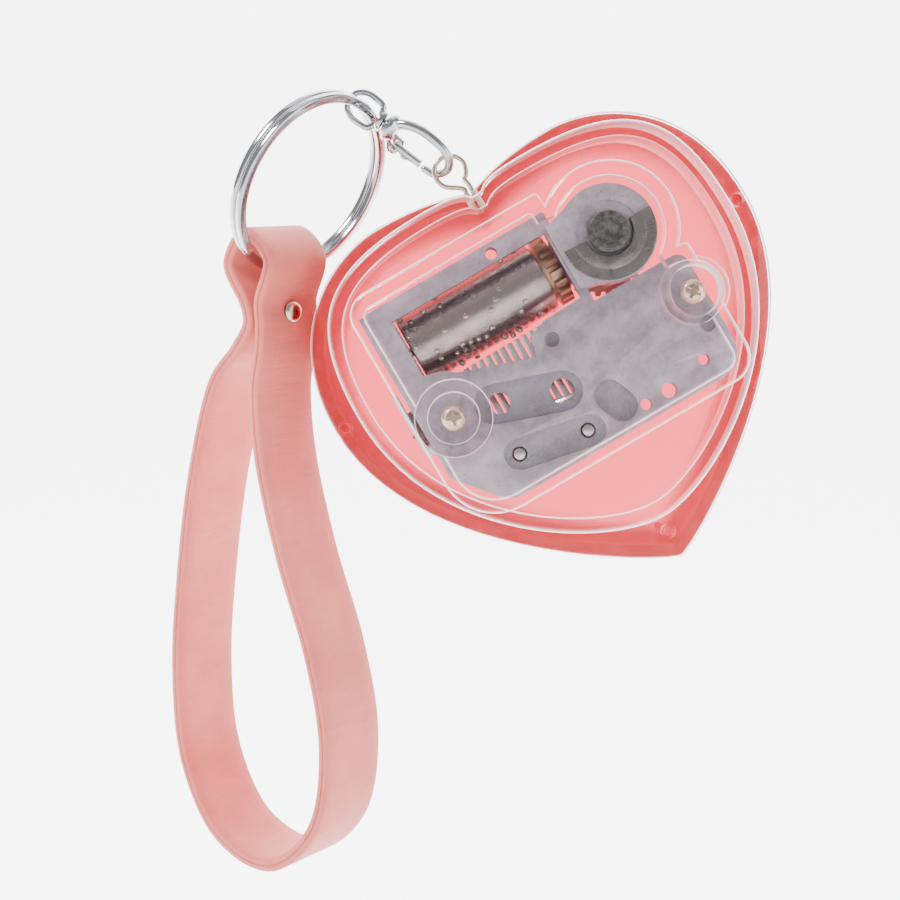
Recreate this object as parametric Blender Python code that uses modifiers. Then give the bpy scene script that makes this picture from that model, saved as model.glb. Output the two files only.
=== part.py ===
"""Heart-shaped wind-up music box on a split ring and a leather wrist strap.

Sizes are in millimetres and every builder function turns them into metres. The case and the
movement are laid out in the case's own frame: x to the right along the movement, y towards the
back, z up towards the notch, with y = 0 on the plane where the two shells meet. The empty
"case" turns that frame to the angle at which the box is held. The origin is the middle of the
flat back face, and the strap hangs along -Z.
"""
import math
import random

import bmesh
import bpy
from mathutils import Matrix, Vector
from mathutils.geometry import interpolate_bezier

MM = 0.001
GAP = 0.3

# Case
CASE_TILT = 30.3            # lean of the heart's axis from the vertical, degrees
CASE_BACK = 17.0            # back face behind the parting plane
WALL = 2.0
FLANGE_FRONT = -2.2
DRUM_FRONT = -10.0          # face of the heart-shaped drum
BLISTER_FRONT = -13.0       # face of the raised cover over the movement
BLISTER_LEFT, BLISTER_RIGHT = -27.5, 24.5
BLISTER_BOTTOM, BLISTER_TOP = -16.3, 25.1
BLISTER_STEP_X, BLISTER_STEP_Z = 8.0, 6.7
BULGE_RADIUS = 11.0
PEG_RADIUS = 0.85
PEG_PLACES = ((-36.9, 8.7), (36.9, 8.7), (0.0, -32.3))

# Movement
ARBOR_X, ARBOR_Z = 15.0, 14.2
CYLINDER_Y = 2.0
CYLINDER_RADIUS = 6.0
CYLINDER_LEFT, CYLINDER_RIGHT = -21.2, 3.4
TRACKS, STEPS = 18, 40
PIN_HEIGHT = 0.55
PLATE_FRONT, PLATE_BACK = -6.0, -4.0
BOSS_FRONT = -8.3
BOSS_RADIUS = 7.9
BARREL_RADIUS = 7.1
CASE_SCREWS = ((-21.0, 1.1), (21.85, -0.7))
WELL_RADII = (6.3, 5.3)
WELL_FLOOR_FRONT, WELL_FLOOR_BACK = -8.0, -6.3
COMB_SCREWS = ((-14.7, -9.15), (-3.3, -11.4))
COMB_FRONT, COMB_BACK = 0.6, 2.9
GOVERNOR_WHEEL_Z = 6.6
WORM_X, WORM_Z = -24.1, 2.0

# Key, eye, clasp, ring and strap
EYE_CENTRE = (-1.0, 0.0, 36.4)
EYE_RADIUS = 2.6
EYE_WIRE = 0.42
CLASP_ANGLE = 143.8         # direction of the clasp from the eye, degrees above +X
HOOK_ROLL = 45.0            # turn of the hook's plane about the clasp's axis
RING_ON_CLASP = 17.6        # distance from the eye's centre to the ring's wire
RING_RADIUS = 15.2
RING_AXIS_ANGLE = 55.0      # direction of the ring's long look in the XZ plane
RING_TURN = 60.0            # turn of the ring away from facing forwards
RING_THICK, RING_DEPTH = 1.6, 2.6
STRAP_WIDTH = 13.0
STRAP_THICK = 2.2
STRAP_ACROSS = (0.630, 0.765, 0.130)
STRAP_PATH = (
    (0.0, 5.8), (-4.7, 1.2), (-1.8, -5.2), (-1.5, -9.0), (-5.0, -13.0), (-11.9, -19.4),
    (-19.1, -35.2), (-24.6, -53.0), (-28.3, -70.0), (-28.4, -86.0), (-22.0, -98.6),
    (-9.3, -102.6), (2.6, -94.3), (7.0, -80.0), (5.6, -64.5), (1.2, -48.5), (-1.6, -33.0),
    (-1.6, -21.0), (0.6, -13.5), (1.5, -9.0), (1.8, -5.2), (4.7, 1.2))
RIVET_LEVEL = -7.4


class Heart:
    """A symmetric heart outline, from its tip to its notch, as Bezier curves."""

    def __init__(self, half_width, widest, top, lobe, notch, tip, tip_round, flank, shoulder,
                 crown_out, crown_in, notch_round):
        self.half_width, self.widest = half_width, widest
        self.top, self.lobe = top, lobe
        self.notch, self.notch_round = notch, notch_round
        self.tip, self.tip_round = tip, tip_round
        self.flank, self.shoulder = flank, shoulder
        self.crown_out, self.crown_in = crown_out, crown_in

    def inset(self, wall):
        """The same heart with its wall moved inwards."""
        ratio = (self.half_width - wall) / self.half_width
        return Heart(self.half_width - wall, self.widest, self.top - wall, self.lobe * ratio,
                     self.notch - wall, self.tip + 1.2 * wall, self.tip_round * ratio,
                     self.flank * ratio, self.shoulder * ratio, self.crown_out * ratio,
                     self.crown_in * ratio, self.notch_round * ratio)

    def outline(self, steps=9):
        """Points (x, z) round the heart, starting at the tip and going up the right side."""
        tip = Vector((0, self.tip))
        side = Vector((self.half_width, self.widest))
        crown = Vector((self.lobe, self.top))
        notch = Vector((0, self.notch))
        curves = (
            (tip, tip + Vector((self.tip_round, 0)), side - Vector((0, self.flank)), side),
            (side, side + Vector((0, self.shoulder)), crown + Vector((self.crown_out, 0)), crown),
            (crown, crown - Vector((self.crown_in, 0)), notch + Vector((self.notch_round, 0)),
             notch))
        half = [point for curve in curves for point in interpolate_bezier(*curve, steps)[:-1]]
        right = [(point.x, point.y) for point in half] + [(0.0, self.notch)]
        left = [(-x, z) for x, z in right[-2:0:-1]]
        return right + left


RIM = Heart(38.6, 8.9, 34.2, 16.5, 31.6, -36.9, 2.2, 25.8, 20.0, 6.6, 11.6, 1.4)
DRUM = Heart(34.1, 8.4, 31.7, 9.3, 29.9, -29.1, 10.2, 23.0, 17.3, 18.5, 9.5, 2.3)


# ---------------------------------------------------------------- helpers
def clear_scene():
    for item in list(bpy.data.objects):
        bpy.data.objects.remove(item, do_unlink=True)


def collection(name):
    group = bpy.data.collections.new(name)
    bpy.context.scene.collection.children.link(group)
    return group


def material(name, colour, roughness, metallic=0.0, alpha=1.0):
    finish = bpy.data.materials.new(name)
    finish.use_nodes = True
    shader = finish.node_tree.nodes["Principled BSDF"]
    shader.inputs["Base Color"].default_value = (*colour, 1.0)
    shader.inputs["Roughness"].default_value = roughness
    shader.inputs["Metallic"].default_value = metallic
    shader.inputs["Alpha"].default_value = alpha
    finish.diffuse_color = (*colour, alpha)
    return finish


def frame(name, parent, place=(0, 0, 0), turn=None):
    """An empty at a place in its parent's frame, with an optional 3 x 3 rotation."""
    empty = bpy.data.objects.new(name, None)
    cutters.objects.link(empty)
    empty.parent = parent
    rotation = turn.to_4x4() if turn else Matrix()
    empty.matrix_basis = Matrix.Translation(Vector(place) * MM) @ rotation
    return empty


def add(name, mesh, parent, finish=None, basis=None):
    """A mesh object in the model, or among the cutters when it has no finish."""
    item = bpy.data.objects.new(name, mesh)
    item.parent = parent
    if basis:
        item.matrix_basis = basis
    if finish:
        model.objects.link(item)
        mesh.materials.clear()
        mesh.materials.append(finish)
        mesh.shade_smooth()
        mesh.set_sharp_from_angle(angle=math.radians(35))
    else:
        cutters.objects.link(item)
        item.hide_render = True
        item.display_type = "WIRE"
    return item


def mesh_of(bm, name):
    bmesh.ops.recalc_face_normals(bm, faces=bm.faces)
    mesh = bpy.data.meshes.new(name)
    bm.to_mesh(mesh)
    bm.free()
    return mesh


def solid_of_curve(item, parent, finish):
    """The mesh object that stands for a curve object, with its caps welded."""
    bpy.context.view_layer.update()
    evaluated = item.evaluated_get(bpy.context.evaluated_depsgraph_get())
    mesh = bpy.data.meshes.new_from_object(evaluated)
    bm = bmesh.new()
    bm.from_mesh(mesh)
    bmesh.ops.remove_doubles(bm, verts=bm.verts, dist=0.002 * MM)
    bm.to_mesh(mesh)
    bm.free()
    name, basis = item.name, item.matrix_basis.copy()
    bpy.data.objects.remove(item, do_unlink=True)
    return add(name, mesh, parent, finish, basis)


def plate(name, outline, start, end, parent, finish=None, axis="Y"):
    """A flat outline made thick: (x, z) points along Y, or (y, z) points along X."""
    curve = bpy.data.curves.new(name, "CURVE")
    curve.dimensions = "2D"
    curve.fill_mode = "BOTH"
    curve.extrude = abs(end - start) / 2 * MM
    spline = curve.splines.new("POLY")
    spline.points.add(len(outline) - 1)
    for point, (across, up) in zip(spline.points, outline):
        point.co = (across * MM, up * MM, 0, 1)
    spline.use_cyclic_u = True
    item = bpy.data.objects.new(name, curve)
    cutters.objects.link(item)
    item.parent = parent
    middle = (start + end) / 2 * MM
    if axis == "Y":
        item.rotation_euler = (math.pi / 2, 0, 0)
        item.location = (0, middle, 0)
    else:
        item.rotation_euler = (math.pi / 2, 0, math.pi / 2)
        item.location = (middle, 0, 0)
    return solid_of_curve(item, parent, finish)


def rod(name, radius, start, end, parent, finish=None, sides=32, tip_radius=None):
    """A round bar, or a cone with a tip radius, between two points."""
    start, end = Vector(start) * MM, Vector(end) * MM
    length = (end - start).length
    turn = (end - start).to_track_quat("Z", "Y").to_matrix().to_4x4()
    bm = bmesh.new()
    bmesh.ops.create_cone(
        bm, cap_ends=True, segments=sides, radius1=radius * MM,
        radius2=(radius if tip_radius is None else tip_radius) * MM, depth=length,
        matrix=Matrix.Translation((start + end) / 2) @ turn)
    return add(name, mesh_of(bm, name), parent, finish)


def pin(name, radius, x, z, start, end, parent, finish=None, sides=32, tip_radius=None):
    """A round bar along Y at (x, z)."""
    return rod(name, radius, (x, start, z), (x, end, z), parent, finish, sides, tip_radius)


def block(name, low, high, parent, finish=None):
    low, high = Vector(low) * MM, Vector(high) * MM
    size = high - low
    bm = bmesh.new()
    bmesh.ops.create_cube(
        bm, size=1, matrix=Matrix.Translation((low + high) / 2) @ Matrix.Diagonal((*size, 1)))
    return add(name, mesh_of(bm, name), parent, finish)


def turned(name, profile, parent, finish=None, sides=48, basis=None):
    """A profile of (radius, height) points turned about the frame's z axis."""
    mesh = bpy.data.meshes.new(name)
    points = [(radius * MM, 0, height * MM) for radius, height in profile]
    count = len(points)
    closed = profile[0][0] > 0
    edges = [(i, i + 1) for i in range(count - 1)] + ([(count - 1, 0)] if closed else [])
    mesh.from_pydata(points, edges, [])
    item = add(name, mesh, parent, finish, basis)
    screw = item.modifiers.new("turn", "SCREW")
    screw.steps = screw.render_steps = sides
    screw.use_merge_vertices = True
    screw.merge_threshold = 0.001 * MM
    screw.use_smooth_shade = True
    return item


def wire(name, points, radius, parent, finish=None, closed=False, sides=2):
    curve = bpy.data.curves.new(name, "CURVE")
    curve.dimensions = "3D"
    curve.bevel_depth = radius * MM
    curve.bevel_resolution = sides
    curve.use_fill_caps = True
    spline = curve.splines.new("POLY")
    spline.points.add(len(points) - 1)
    for point, place in zip(spline.points, points):
        point.co = (*(Vector(place) * MM), 1)
    spline.use_cyclic_u = closed
    item = bpy.data.objects.new(name, curve)
    cutters.objects.link(item)
    item.parent = parent
    return solid_of_curve(item, parent, finish)


def combine(target, operation, tools):
    for tool in tools:
        change = target.modifiers.new(operation.lower(), "BOOLEAN")
        change.operation = operation
        change.object = tool


def cut(target, *tools):
    combine(target, "DIFFERENCE", tools)


def join(target, *tools):
    combine(target, "UNION", tools)


def smooth_path(points, steps, closed=False):
    """Catmull-Rom points through a list of 2D or 3D points."""
    points = [Vector(point) for point in points]
    if closed:
        points = [points[-1]] + points + points[:2]
    else:
        points = [2 * points[0] - points[1]] + points + [2 * points[-1] - points[-2]]
    path = []
    for a, b, c, d in zip(points, points[1:], points[2:], points[3:]):
        for step in range(steps):
            t = step / steps
            path.append(0.5 * (2 * b + (c - a) * t + (2 * a - 5 * b + 4 * c - d) * t ** 2
                               + (3 * b - a - 3 * c + d) * t ** 3))
    return path if closed else path + [points[-2]]


def rounded(corners, steps=5):
    """An outline from (x, z, radius) corners, each corner turned into an arc."""
    outline = []
    count = len(corners)
    for i, (x, z, radius) in enumerate(corners):
        here = Vector((x, z))
        back = (Vector(corners[i - 1][:2]) - here).normalized()
        ahead = (Vector(corners[(i + 1) % count][:2]) - here).normalized()
        if radius == 0:
            outline.append((x, z))
            continue
        half = back.angle(ahead) / 2
        centre = here + (back + ahead).normalized() * radius / math.sin(half)
        first = here + back * radius / math.tan(half) - centre
        last = here + ahead * radius / math.tan(half) - centre
        for step in range(steps + 1):
            spoke = first.lerp(last, step / steps).normalized() * radius
            outline.append(tuple(centre + spoke))
    return outline


def stadium(start, end, radius, steps=8):
    """A slot outline: two half circles round the ends of a line."""
    start, end = Vector(start), Vector(end)
    heading = math.atan2(end.y - start.y, end.x - start.x)
    outline = []
    for centre, first in ((end, heading - math.pi / 2), (start, heading + math.pi / 2)):
        for step in range(steps + 1):
            angle = first + math.pi * step / steps
            outline.append((centre.x + radius * math.cos(angle),
                            centre.y + radius * math.sin(angle)))
    return outline


def gear_outline(radius, depth, teeth, centre=(0, 0)):
    """A gear's outline with straight-sided teeth."""
    outline = []
    for tooth in range(teeth):
        for share, reach in ((0.0, -depth), (0.3, -depth), (0.42, 0), (0.83, 0), (0.95, -depth)):
            angle = 2 * math.pi * (tooth + share) / teeth
            outline.append((centre[0] + (radius + reach) * math.cos(angle),
                            centre[1] + (radius + reach) * math.sin(angle)))
    return outline


def loft(name, rings, parent, finish=None):
    """A closed skin through rings of (x, y, z) points that all have the same count."""
    bm = bmesh.new()
    loops = [[bm.verts.new(Vector(point) * MM) for point in ring] for ring in rings]
    count = len(loops[0])
    for near, far in zip(loops, loops[1:]):
        for i in range(count):
            j = (i + 1) % count
            bm.faces.new((near[i], near[j], far[j], far[i]))
    bm.faces.new(loops[0])
    bm.faces.new(loops[-1])
    return add(name, mesh_of(bm, name), parent, finish)


def heart_ring(heart, y):
    return [(x, y, z) for x, z in heart.outline()]


# ---------------------------------------------------------------- case
def blister_solids(parent, tag, inset, front, back):
    """The stepped cover over the movement and its round bulge, moved inwards by inset."""
    left, right = BLISTER_LEFT + inset, BLISTER_RIGHT - inset
    bottom, top = BLISTER_BOTTOM + inset, BLISTER_TOP - inset
    step_x, step_z = BLISTER_STEP_X - inset, BLISTER_STEP_Z - inset
    outline = rounded([
        (left, top, 4.0 - inset), (left, bottom, 9.0 - inset), (right, bottom, 4.5 - inset),
        (right, step_z, 0.5), (step_x, step_z, 0), (step_x, top, 0.5)])
    cover = plate("cover_" + tag, outline, front, back, parent)
    bulge = pin("bulge_" + tag, BULGE_RADIUS - inset, ARBOR_X, ARBOR_Z, front, back, parent,
                sides=48)
    return [cover, bulge]


def build_front_shell(case):
    shell = plate("front_shell", RIM.outline(), FLANGE_FRONT, -GAP / 2, case, clear_plastic)
    join(shell, plate("drum_outside", DRUM.outline(), DRUM_FRONT, -GAP / 2, case))
    join(shell, *blister_solids(case, "outside", 0.0, BLISTER_FRONT, DRUM_FRONT + 1))
    well_2 = pin("well_outside_2", WELL_RADII[1], *CASE_SCREWS[1], BLISTER_FRONT + 0.01,
                 DRUM_FRONT + 1, case)
    join(shell, well_2)
    cut(shell, plate("drum_inside", DRUM.inset(WALL).outline(), DRUM_FRONT + WALL, 1, case))
    cut(shell, *blister_solids(case, "inside", WALL, BLISTER_FRONT + WALL, DRUM_FRONT + 3))
    cut(shell, block("cover_inside_left", (0, -11.01, -3), (13, -7.02, 19), case))
    cut(shell, block("cover_inside_top", (4, -11.03, 15), (8.6, -7.04, 20.7), case))
    cut(shell, block("cover_inside_right", (8, -11.02, -4), (20, -7.03, 10), case))
    for i, (x, z) in enumerate(CASE_SCREWS):
        join(shell, pin(f"well_{i}", WELL_RADII[i], x, z, BLISTER_FRONT + 0.5, WELL_FLOOR_BACK,
                        case))
        cut(shell, pin(f"well_mouth_{i}", 4.2, x, z, BLISTER_FRONT - 1, WELL_FLOOR_FRONT, case))
        cut(shell, pin(f"well_hole_{i}", 1.35, x, z, WELL_FLOOR_FRONT - 1, WELL_FLOOR_BACK + 1,
                       case, sides=20))
    for i, (x, z) in enumerate(PEG_PLACES):
        cut(shell, pin(f"peg_hole_{i}", PEG_RADIUS + GAP, x, z, -4, 1, case, sides=20))
    cut(shell, rod("eye_hole_front", 1.25, (0, 0, 26), (0, 0, 36), case, sides=20))


def build_back_shell(case):
    # (y, inset) down the outside from the rim to the back face, and back up the inside
    outside = ((GAP / 2, 0), (4, 0.3), (8, 0.9), (11.5, 2.0), (14.2, 3.6), (16, 5.7),
               (16.8, 7.8), (CASE_BACK, 10.0))
    inside = ((15.0, 10.2), (14.6, 8.2), (13.6, 6.4), (11.4, 4.6), (8, 3.1), (4, 2.4),
              (GAP / 2, 2.0))
    rings = [heart_ring(RIM.inset(inset), y) for y, inset in outside + inside]
    bm_rings = rings
    shell = cup("back_shell", bm_rings, len(outside), case, red_plastic)
    for i, (x, z) in enumerate(PEG_PLACES):
        foot = 3.0 if i < 2 else 12.6
        join(shell, pin(f"peg_{i}", PEG_RADIUS, x, z, -1.9, foot, case, sides=20))
    cut(shell, pin("key_hole", 2.6, ARBOR_X, ARBOR_Z, 12, 19, case))
    cut(shell, rod("eye_hole_back", 1.25, (0, 0, 26), (0, 0, 36), case, sides=20))


def cup(name, rings, outside_count, parent, finish):
    """A cup skin: the outside rings end in a cap, the inside ones start from one."""
    bm = bmesh.new()
    loops = [[bm.verts.new(Vector(point) * MM) for point in ring] for ring in rings]
    count = len(loops[0])
    pairs = list(zip(loops, loops[1:]))
    del pairs[outside_count - 1]
    pairs.append((loops[-1], loops[0]))
    for near, far in pairs:
        for i in range(count):
            j = (i + 1) % count
            bm.faces.new((near[i], near[j], far[j], far[i]))
    bm.faces.new(loops[outside_count - 1])
    bm.faces.new(loops[outside_count])
    return add(name, mesh_of(bm, name), parent, finish)


def build_case_screws(case):
    for i, (x, z) in enumerate(CASE_SCREWS):
        head_back = WELL_FLOOR_FRONT - GAP
        screw = pin(f"case_screw_{i + 1}", 2.05, x, z, head_back - 1.3, head_back, case,
                    screw_steel, sides=28)
        join(screw, pin(f"case_screw_shank_{i}", 1.0, x, z, head_back - 0.3, -2.2, case,
                        sides=20))
        for j, half in enumerate(((1.2, 0.24), (0.24, 1.2))):
            cut(screw, block(f"case_screw_cross_{i}_{j}", (x - half[0], head_back - 2, z - half[1]),
                             (x + half[0], head_back - 0.5 - 0.02 * j, z + half[1]), case))


# ---------------------------------------------------------------- movement
def build_base_frame(case):
    outline = rounded([
        (-26.3, 22.6, 2.5), (-26.3, -7.0, 3.0), (-19.5, -15.0, 4.0), (24.2, -15.0, 4.8),
        (24.2, 6.0, 2.0), (8.0, 6.0, 0), (8.0, 22.6, 0.5)])
    base = plate("base_frame", outline, PLATE_FRONT, PLATE_BACK, case, zinc)
    boss_left = rounded([(6.75, 19.8, 0), (6.75, 8.7, 0), (13.0, 7.0, 0), (13.0, 21.3, 0),
                         (10.5, 20.9, 0)])
    join(base,
         pin("boss", BOSS_RADIUS, ARBOR_X, ARBOR_Z, BOSS_FRONT, PLATE_BACK, case, sides=48),
         plate("boss_left", boss_left, BOSS_FRONT + 0.01, PLATE_BACK - 0.01, case),
         block("rail", (-26.2, -4.5, 19.7), (7.0, -2.7, 22.5), case),
         block("post", (-26.2, -4.5, 3.0), (-25.1, 5.2, 18.0), case),
         block("cheek", (6.8, -4.5, 10.5), (7.55, 4.6, 18.0), case),
         block("comb_bed", (-19.0, -4.5, -13.8), (0.6, GAP, -5.5), case))
    for i, (x, z) in enumerate(CASE_SCREWS):
        join(base, pin(f"lug_{i}", 2.6, x, z, PLATE_FRONT + 0.5, -1.4, case))
    window = [(-21.8, 19.4), (-21.8, 9.4), (-18.6, 8.6), (-16.5, 7.0), (-4.6, 3.1),
              (-3.8, 6.2), (-0.5, 7.4), (6.5, 7.6), (6.5, 19.4)]
    cut(base, plate("window", window, -9, -3, case))
    for i, (x, z) in enumerate(CASE_SCREWS):
        cut(base, pin(f"lug_hole_{i}", 1.3, x, z, -7, 0, case, sides=20))
    for i, (x, z) in enumerate(COMB_SCREWS):
        cut(base, pin(f"comb_screw_hole_{i}", 1.25, x, z, -7, 1, case, sides=20))
    holes = ((-13.4, -0.5, 1.75), (-3.7, -3.85, 2.05), (6.8, -12.5, 0.95), (11.1, -12.4, 1.25),
             (-2.5, 20.9, 1.0), (18.4, -10.9, 0.9))
    for i, (x, z, radius) in enumerate(holes):
        cut(base, pin(f"plate_hole_{i}", radius, x, z, -7, 0.9, case, sides=20))
    for i, (x, z, radius) in enumerate(((-1.0, 4.1, 1.25), (21.8, -6.3, 1.3))):
        cut(base, pin(f"dimple_{i}", radius, x, z, -7, -5.0, case, sides=20))
    cut(base,
        plate("recess_long", stadium((-14.2, -0.2), (-3.7, -3.85), 3.3), -7, -5.2, case),
        plate("recess_comb", stadium((-14.7, -9.15), (-3.0, -11.5), 2.6), -7, -5.1, case),
        plate("recess_oval", stadium((2.4, -8.2), (3.4, -10.8), 2.5), -7, -4.9, case),
        pin("boss_step", 5.2, ARBOR_X, ARBOR_Z, -9, BOSS_FRONT + 0.4, case),
        pin("arbor_hole", 2.0, ARBOR_X, ARBOR_Z, -9, -3, case),
        rod("cylinder_bearings", 1.1, (-28, CYLINDER_Y, ARBOR_Z), (9, CYLINDER_Y, ARBOR_Z), case,
            sides=20),
        rod("wheel_bearing", 0.8, (-28, CYLINDER_Y, GOVERNOR_WHEEL_Z),
            (-24.6, CYLINDER_Y, GOVERNOR_WHEEL_Z), case, sides=16))


def build_cylinder(case):
    axle = frame("cylinder_axis", case, (0, CYLINDER_Y, ARBOR_Z))
    add("cylinder", pinned_tube("cylinder"), axle, nickel)
    inner = CYLINDER_RADIUS - 0.7 - GAP
    rod("cylinder_axle", 0.8, (-26.0, 0, 0), (7.4, 0, 0), axle, steel, sides=20)
    end_gear = plate("cylinder_end_gear", gear_outline(5.9, 0.7, 40), -23.8, -21.5, axle,
                     cream_plastic, axis="X")
    cut(end_gear, rod("end_gear_bore", 0.8 + GAP, (-25, 0, 0), (-20, 0, 0), axle, sides=20))
    drive = plate("cylinder_drive_gear", gear_outline(6.0, 0.9, 20), 4.2, 6.3, axle, copper,
                  axis="X")
    join(drive, rod("drive_hub", inner, (-1.0, 0, 0), (4.5, 0, 0), axle, sides=40))
    cut(drive, rod("drive_bore", 0.8 + GAP, (-3, 0, 0), (8, 0, 0), axle, sides=20))


def pinned_tube(name):
    """The tune cylinder: an open tube whose outside carries one row of pins to a tooth."""
    length = CYLINDER_RIGHT - CYLINDER_LEFT
    bm = bmesh.new()
    rings = []
    for track in range(TRACKS + 1):
        x = CYLINDER_LEFT + length * track / TRACKS
        ring = []
        for step in range(STEPS):
            angle = 2 * math.pi * step / STEPS
            ring.append(bm.verts.new(Vector((x, CYLINDER_RADIUS * math.cos(angle),
                                             CYLINDER_RADIUS * math.sin(angle))) * MM))
        rings.append(ring)
    cells = []
    for near, far in zip(rings, rings[1:]):
        for i in range(STEPS):
            j = (i + 1) % STEPS
            cells.append(bm.faces.new((near[i], near[j], far[j], far[i])))
    tune = random.Random(18)
    picked = []
    last = []
    for track in range(TRACKS):
        free = [step for step in range(0, STEPS, 2) if step not in last]
        last = tune.sample(free, 4)
        picked += [cells[track * STEPS + step] for step in last]
    bmesh.ops.inset_individual(bm, faces=picked, thickness=0.2 * MM)
    for face in picked:
        outward = face.calc_center_median()
        outward.x = 0
        for vert in face.verts:
            vert.co += outward.normalized() * PIN_HEIGHT * MM
    inner = (CYLINDER_RADIUS - 0.7) / CYLINDER_RADIUS
    inside = [[bm.verts.new((vert.co.x, vert.co.y * inner, vert.co.z * inner)) for vert in ring]
              for ring in (rings[0], rings[-1])]
    for near, far in ((inside[0], rings[0]), (rings[-1], inside[1]), (inside[1], inside[0])):
        for i in range(STEPS):
            j = (i + 1) % STEPS
            bm.faces.new((near[i], near[j], far[j], far[i]))
    return mesh_of(bm, name)


def build_comb(case):
    pitch = (CYLINDER_RIGHT - CYLINDER_LEFT) / TRACKS
    tip = ARBOR_Z - CYLINDER_RADIUS - PIN_HEIGHT - GAP
    slope = -0.19

    def root(x):
        return -3.6 + slope * (x + 9)

    outline = [(-21.6, -13.2), (3.8, -14.2), (3.8, root(3.8))]
    for track in reversed(range(TRACKS)):
        right = CYLINDER_LEFT + pitch * (track + 0.86)
        left = CYLINDER_LEFT + pitch * (track + 0.14)
        outline += [(right, root(right)), (right, tip), (left, tip), (left, root(left))]
    outline.append((-21.6, root(-21.6)))
    comb = plate("comb", outline, CYLINDER_Y - 0.6, CYLINDER_Y + 0.2, case, steel)
    heel = [(-21.5, -13.1), (3.7, -14.1), (3.7, root(3.7) - 1.0), (-21.5, root(-21.5) - 1.0)]
    join(comb, plate("comb_heel", heel, COMB_FRONT, COMB_BACK, case))
    for i, (x, z) in enumerate(COMB_SCREWS):
        cut(comb, pin(f"comb_hole_{i}", 1.25, x, z, -1, 4, case, sides=20))
        screw = pin(f"comb_screw_{i + 1}", 1.9, x, z, COMB_BACK + GAP, COMB_BACK + 1.6, case,
                    steel, sides=24)
        join(screw, pin(f"comb_screw_shank_{i}", 0.9, x, z, -5.6, COMB_BACK + 0.6, case,
                        sides=20))
        cut(screw, block(f"comb_screw_slot_{i}", (x - 3, COMB_BACK + 1.0, z - 0.25),
                         (x + 3, COMB_BACK + 3, z + 0.25), case))


def build_spring_barrel(case):
    axle = frame("barrel_axis", case, (ARBOR_X, 0, ARBOR_Z))
    barrel = pin("spring_barrel", BARREL_RADIUS, 0, 0, -3.6, 7.6, axle, steel, sides=48)
    cut(barrel, pin("barrel_inside", BARREL_RADIUS - 0.6, 0, 0, -5, 7.0, axle, sides=48),
        pin("barrel_hole", 2.0, 0, 0, 5, 9, axle, sides=20))
    wheel = plate("great_wheel", gear_outline(8.5, 0.7, 28), 7.9, 9.1, axle, copper)
    cut(wheel, pin("great_wheel_hole", 2.0, 0, 0, 6, 10, axle, sides=20))
    turns, steps, width = 5, 20, 8.6
    spiral = []
    for i in range(turns * steps + 1):
        angle = 2 * math.pi * i / steps
        radius = 2.35 + 3.7 * i / (turns * steps)
        spiral.append((radius * math.cos(angle), radius * math.sin(angle)))
    bm = bmesh.new()
    front = [bm.verts.new(Vector((x, -2.9, z)) * MM) for x, z in spiral]
    back = [bm.verts.new(Vector((x, -2.9 + width, z)) * MM) for x, z in spiral]
    for i in range(len(spiral) - 1):
        bm.faces.new((front[i], front[i + 1], back[i + 1], back[i]))
    spring = add("mainspring", mesh_of(bm, "mainspring"), axle, steel)
    thick = spring.modifiers.new("leaf", "SOLIDIFY")
    thick.thickness = 0.25 * MM
    thick.offset = 0


def build_winding(case):
    axle = frame("winding_axis", case, (ARBOR_X, 0, ARBOR_Z))
    arbor = pin("winding_arbor", 1.6, 0, 0, -9.5, 21.6, axle, dark_steel, sides=24)
    join(arbor, pin("arbor_head", 3.35, 0, 0, -10.2, -8.75, axle, sides=32))
    clip = plate("arbor_clip", half_ring(3.75, 7.75), -9.1, -8.6, case, dark_steel)
    clip.matrix_basis = Matrix.Translation((ARBOR_X * MM, 0, ARBOR_Z * MM)) @ clip.matrix_basis
    raised = plate("clip_raised", half_ring(3.8, 6.0), -9.6, -8.7, case)
    raised.matrix_basis = Matrix.Translation((ARBOR_X * MM, 0, ARBOR_Z * MM)) @ raised.matrix_basis
    join(clip, raised)
    key_outline = rounded([(-9.5, 20.5, 2.0), (9.5, 20.5, 2.0), (9.5, 29.5, 4.0),
                           (0, 27.4, 6.0), (-9.5, 29.5, 4.0)])
    # the wings lie in the frame's x-y plane, so their outline turns about x
    wings = plate("winding_key", key_outline, -0.8, 0.8, axle, nickel)
    wings.matrix_basis = Matrix.Rotation(-math.pi / 2, 4, "X") @ wings.matrix_basis
    join(wings, pin("key_hub", 3.1, 0, 0, CASE_BACK + GAP, 23.5, axle, sides=28))
    cut(wings, pin("key_bore", 1.6 + GAP, 0, 0, 16, 22.0, axle, sides=20))
    for i, x in enumerate((-5.6, 5.6)):
        cut(wings, rod(f"wing_hole_{i}", 1.9, (x, 25.0, -3), (x, 25.0, 3), axle, sides=24))


def half_ring(inner, outer, steps=24):
    """The lower half of a flat ring, a little over a half circle."""
    start, sweep = math.radians(3), -math.radians(189.5)
    arc = [start + sweep * i / steps for i in range(steps + 1)]
    return ([(outer * math.cos(a), outer * math.sin(a)) for a in arc]
            + [(inner * math.cos(a), inner * math.sin(a)) for a in reversed(arc)])


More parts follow.
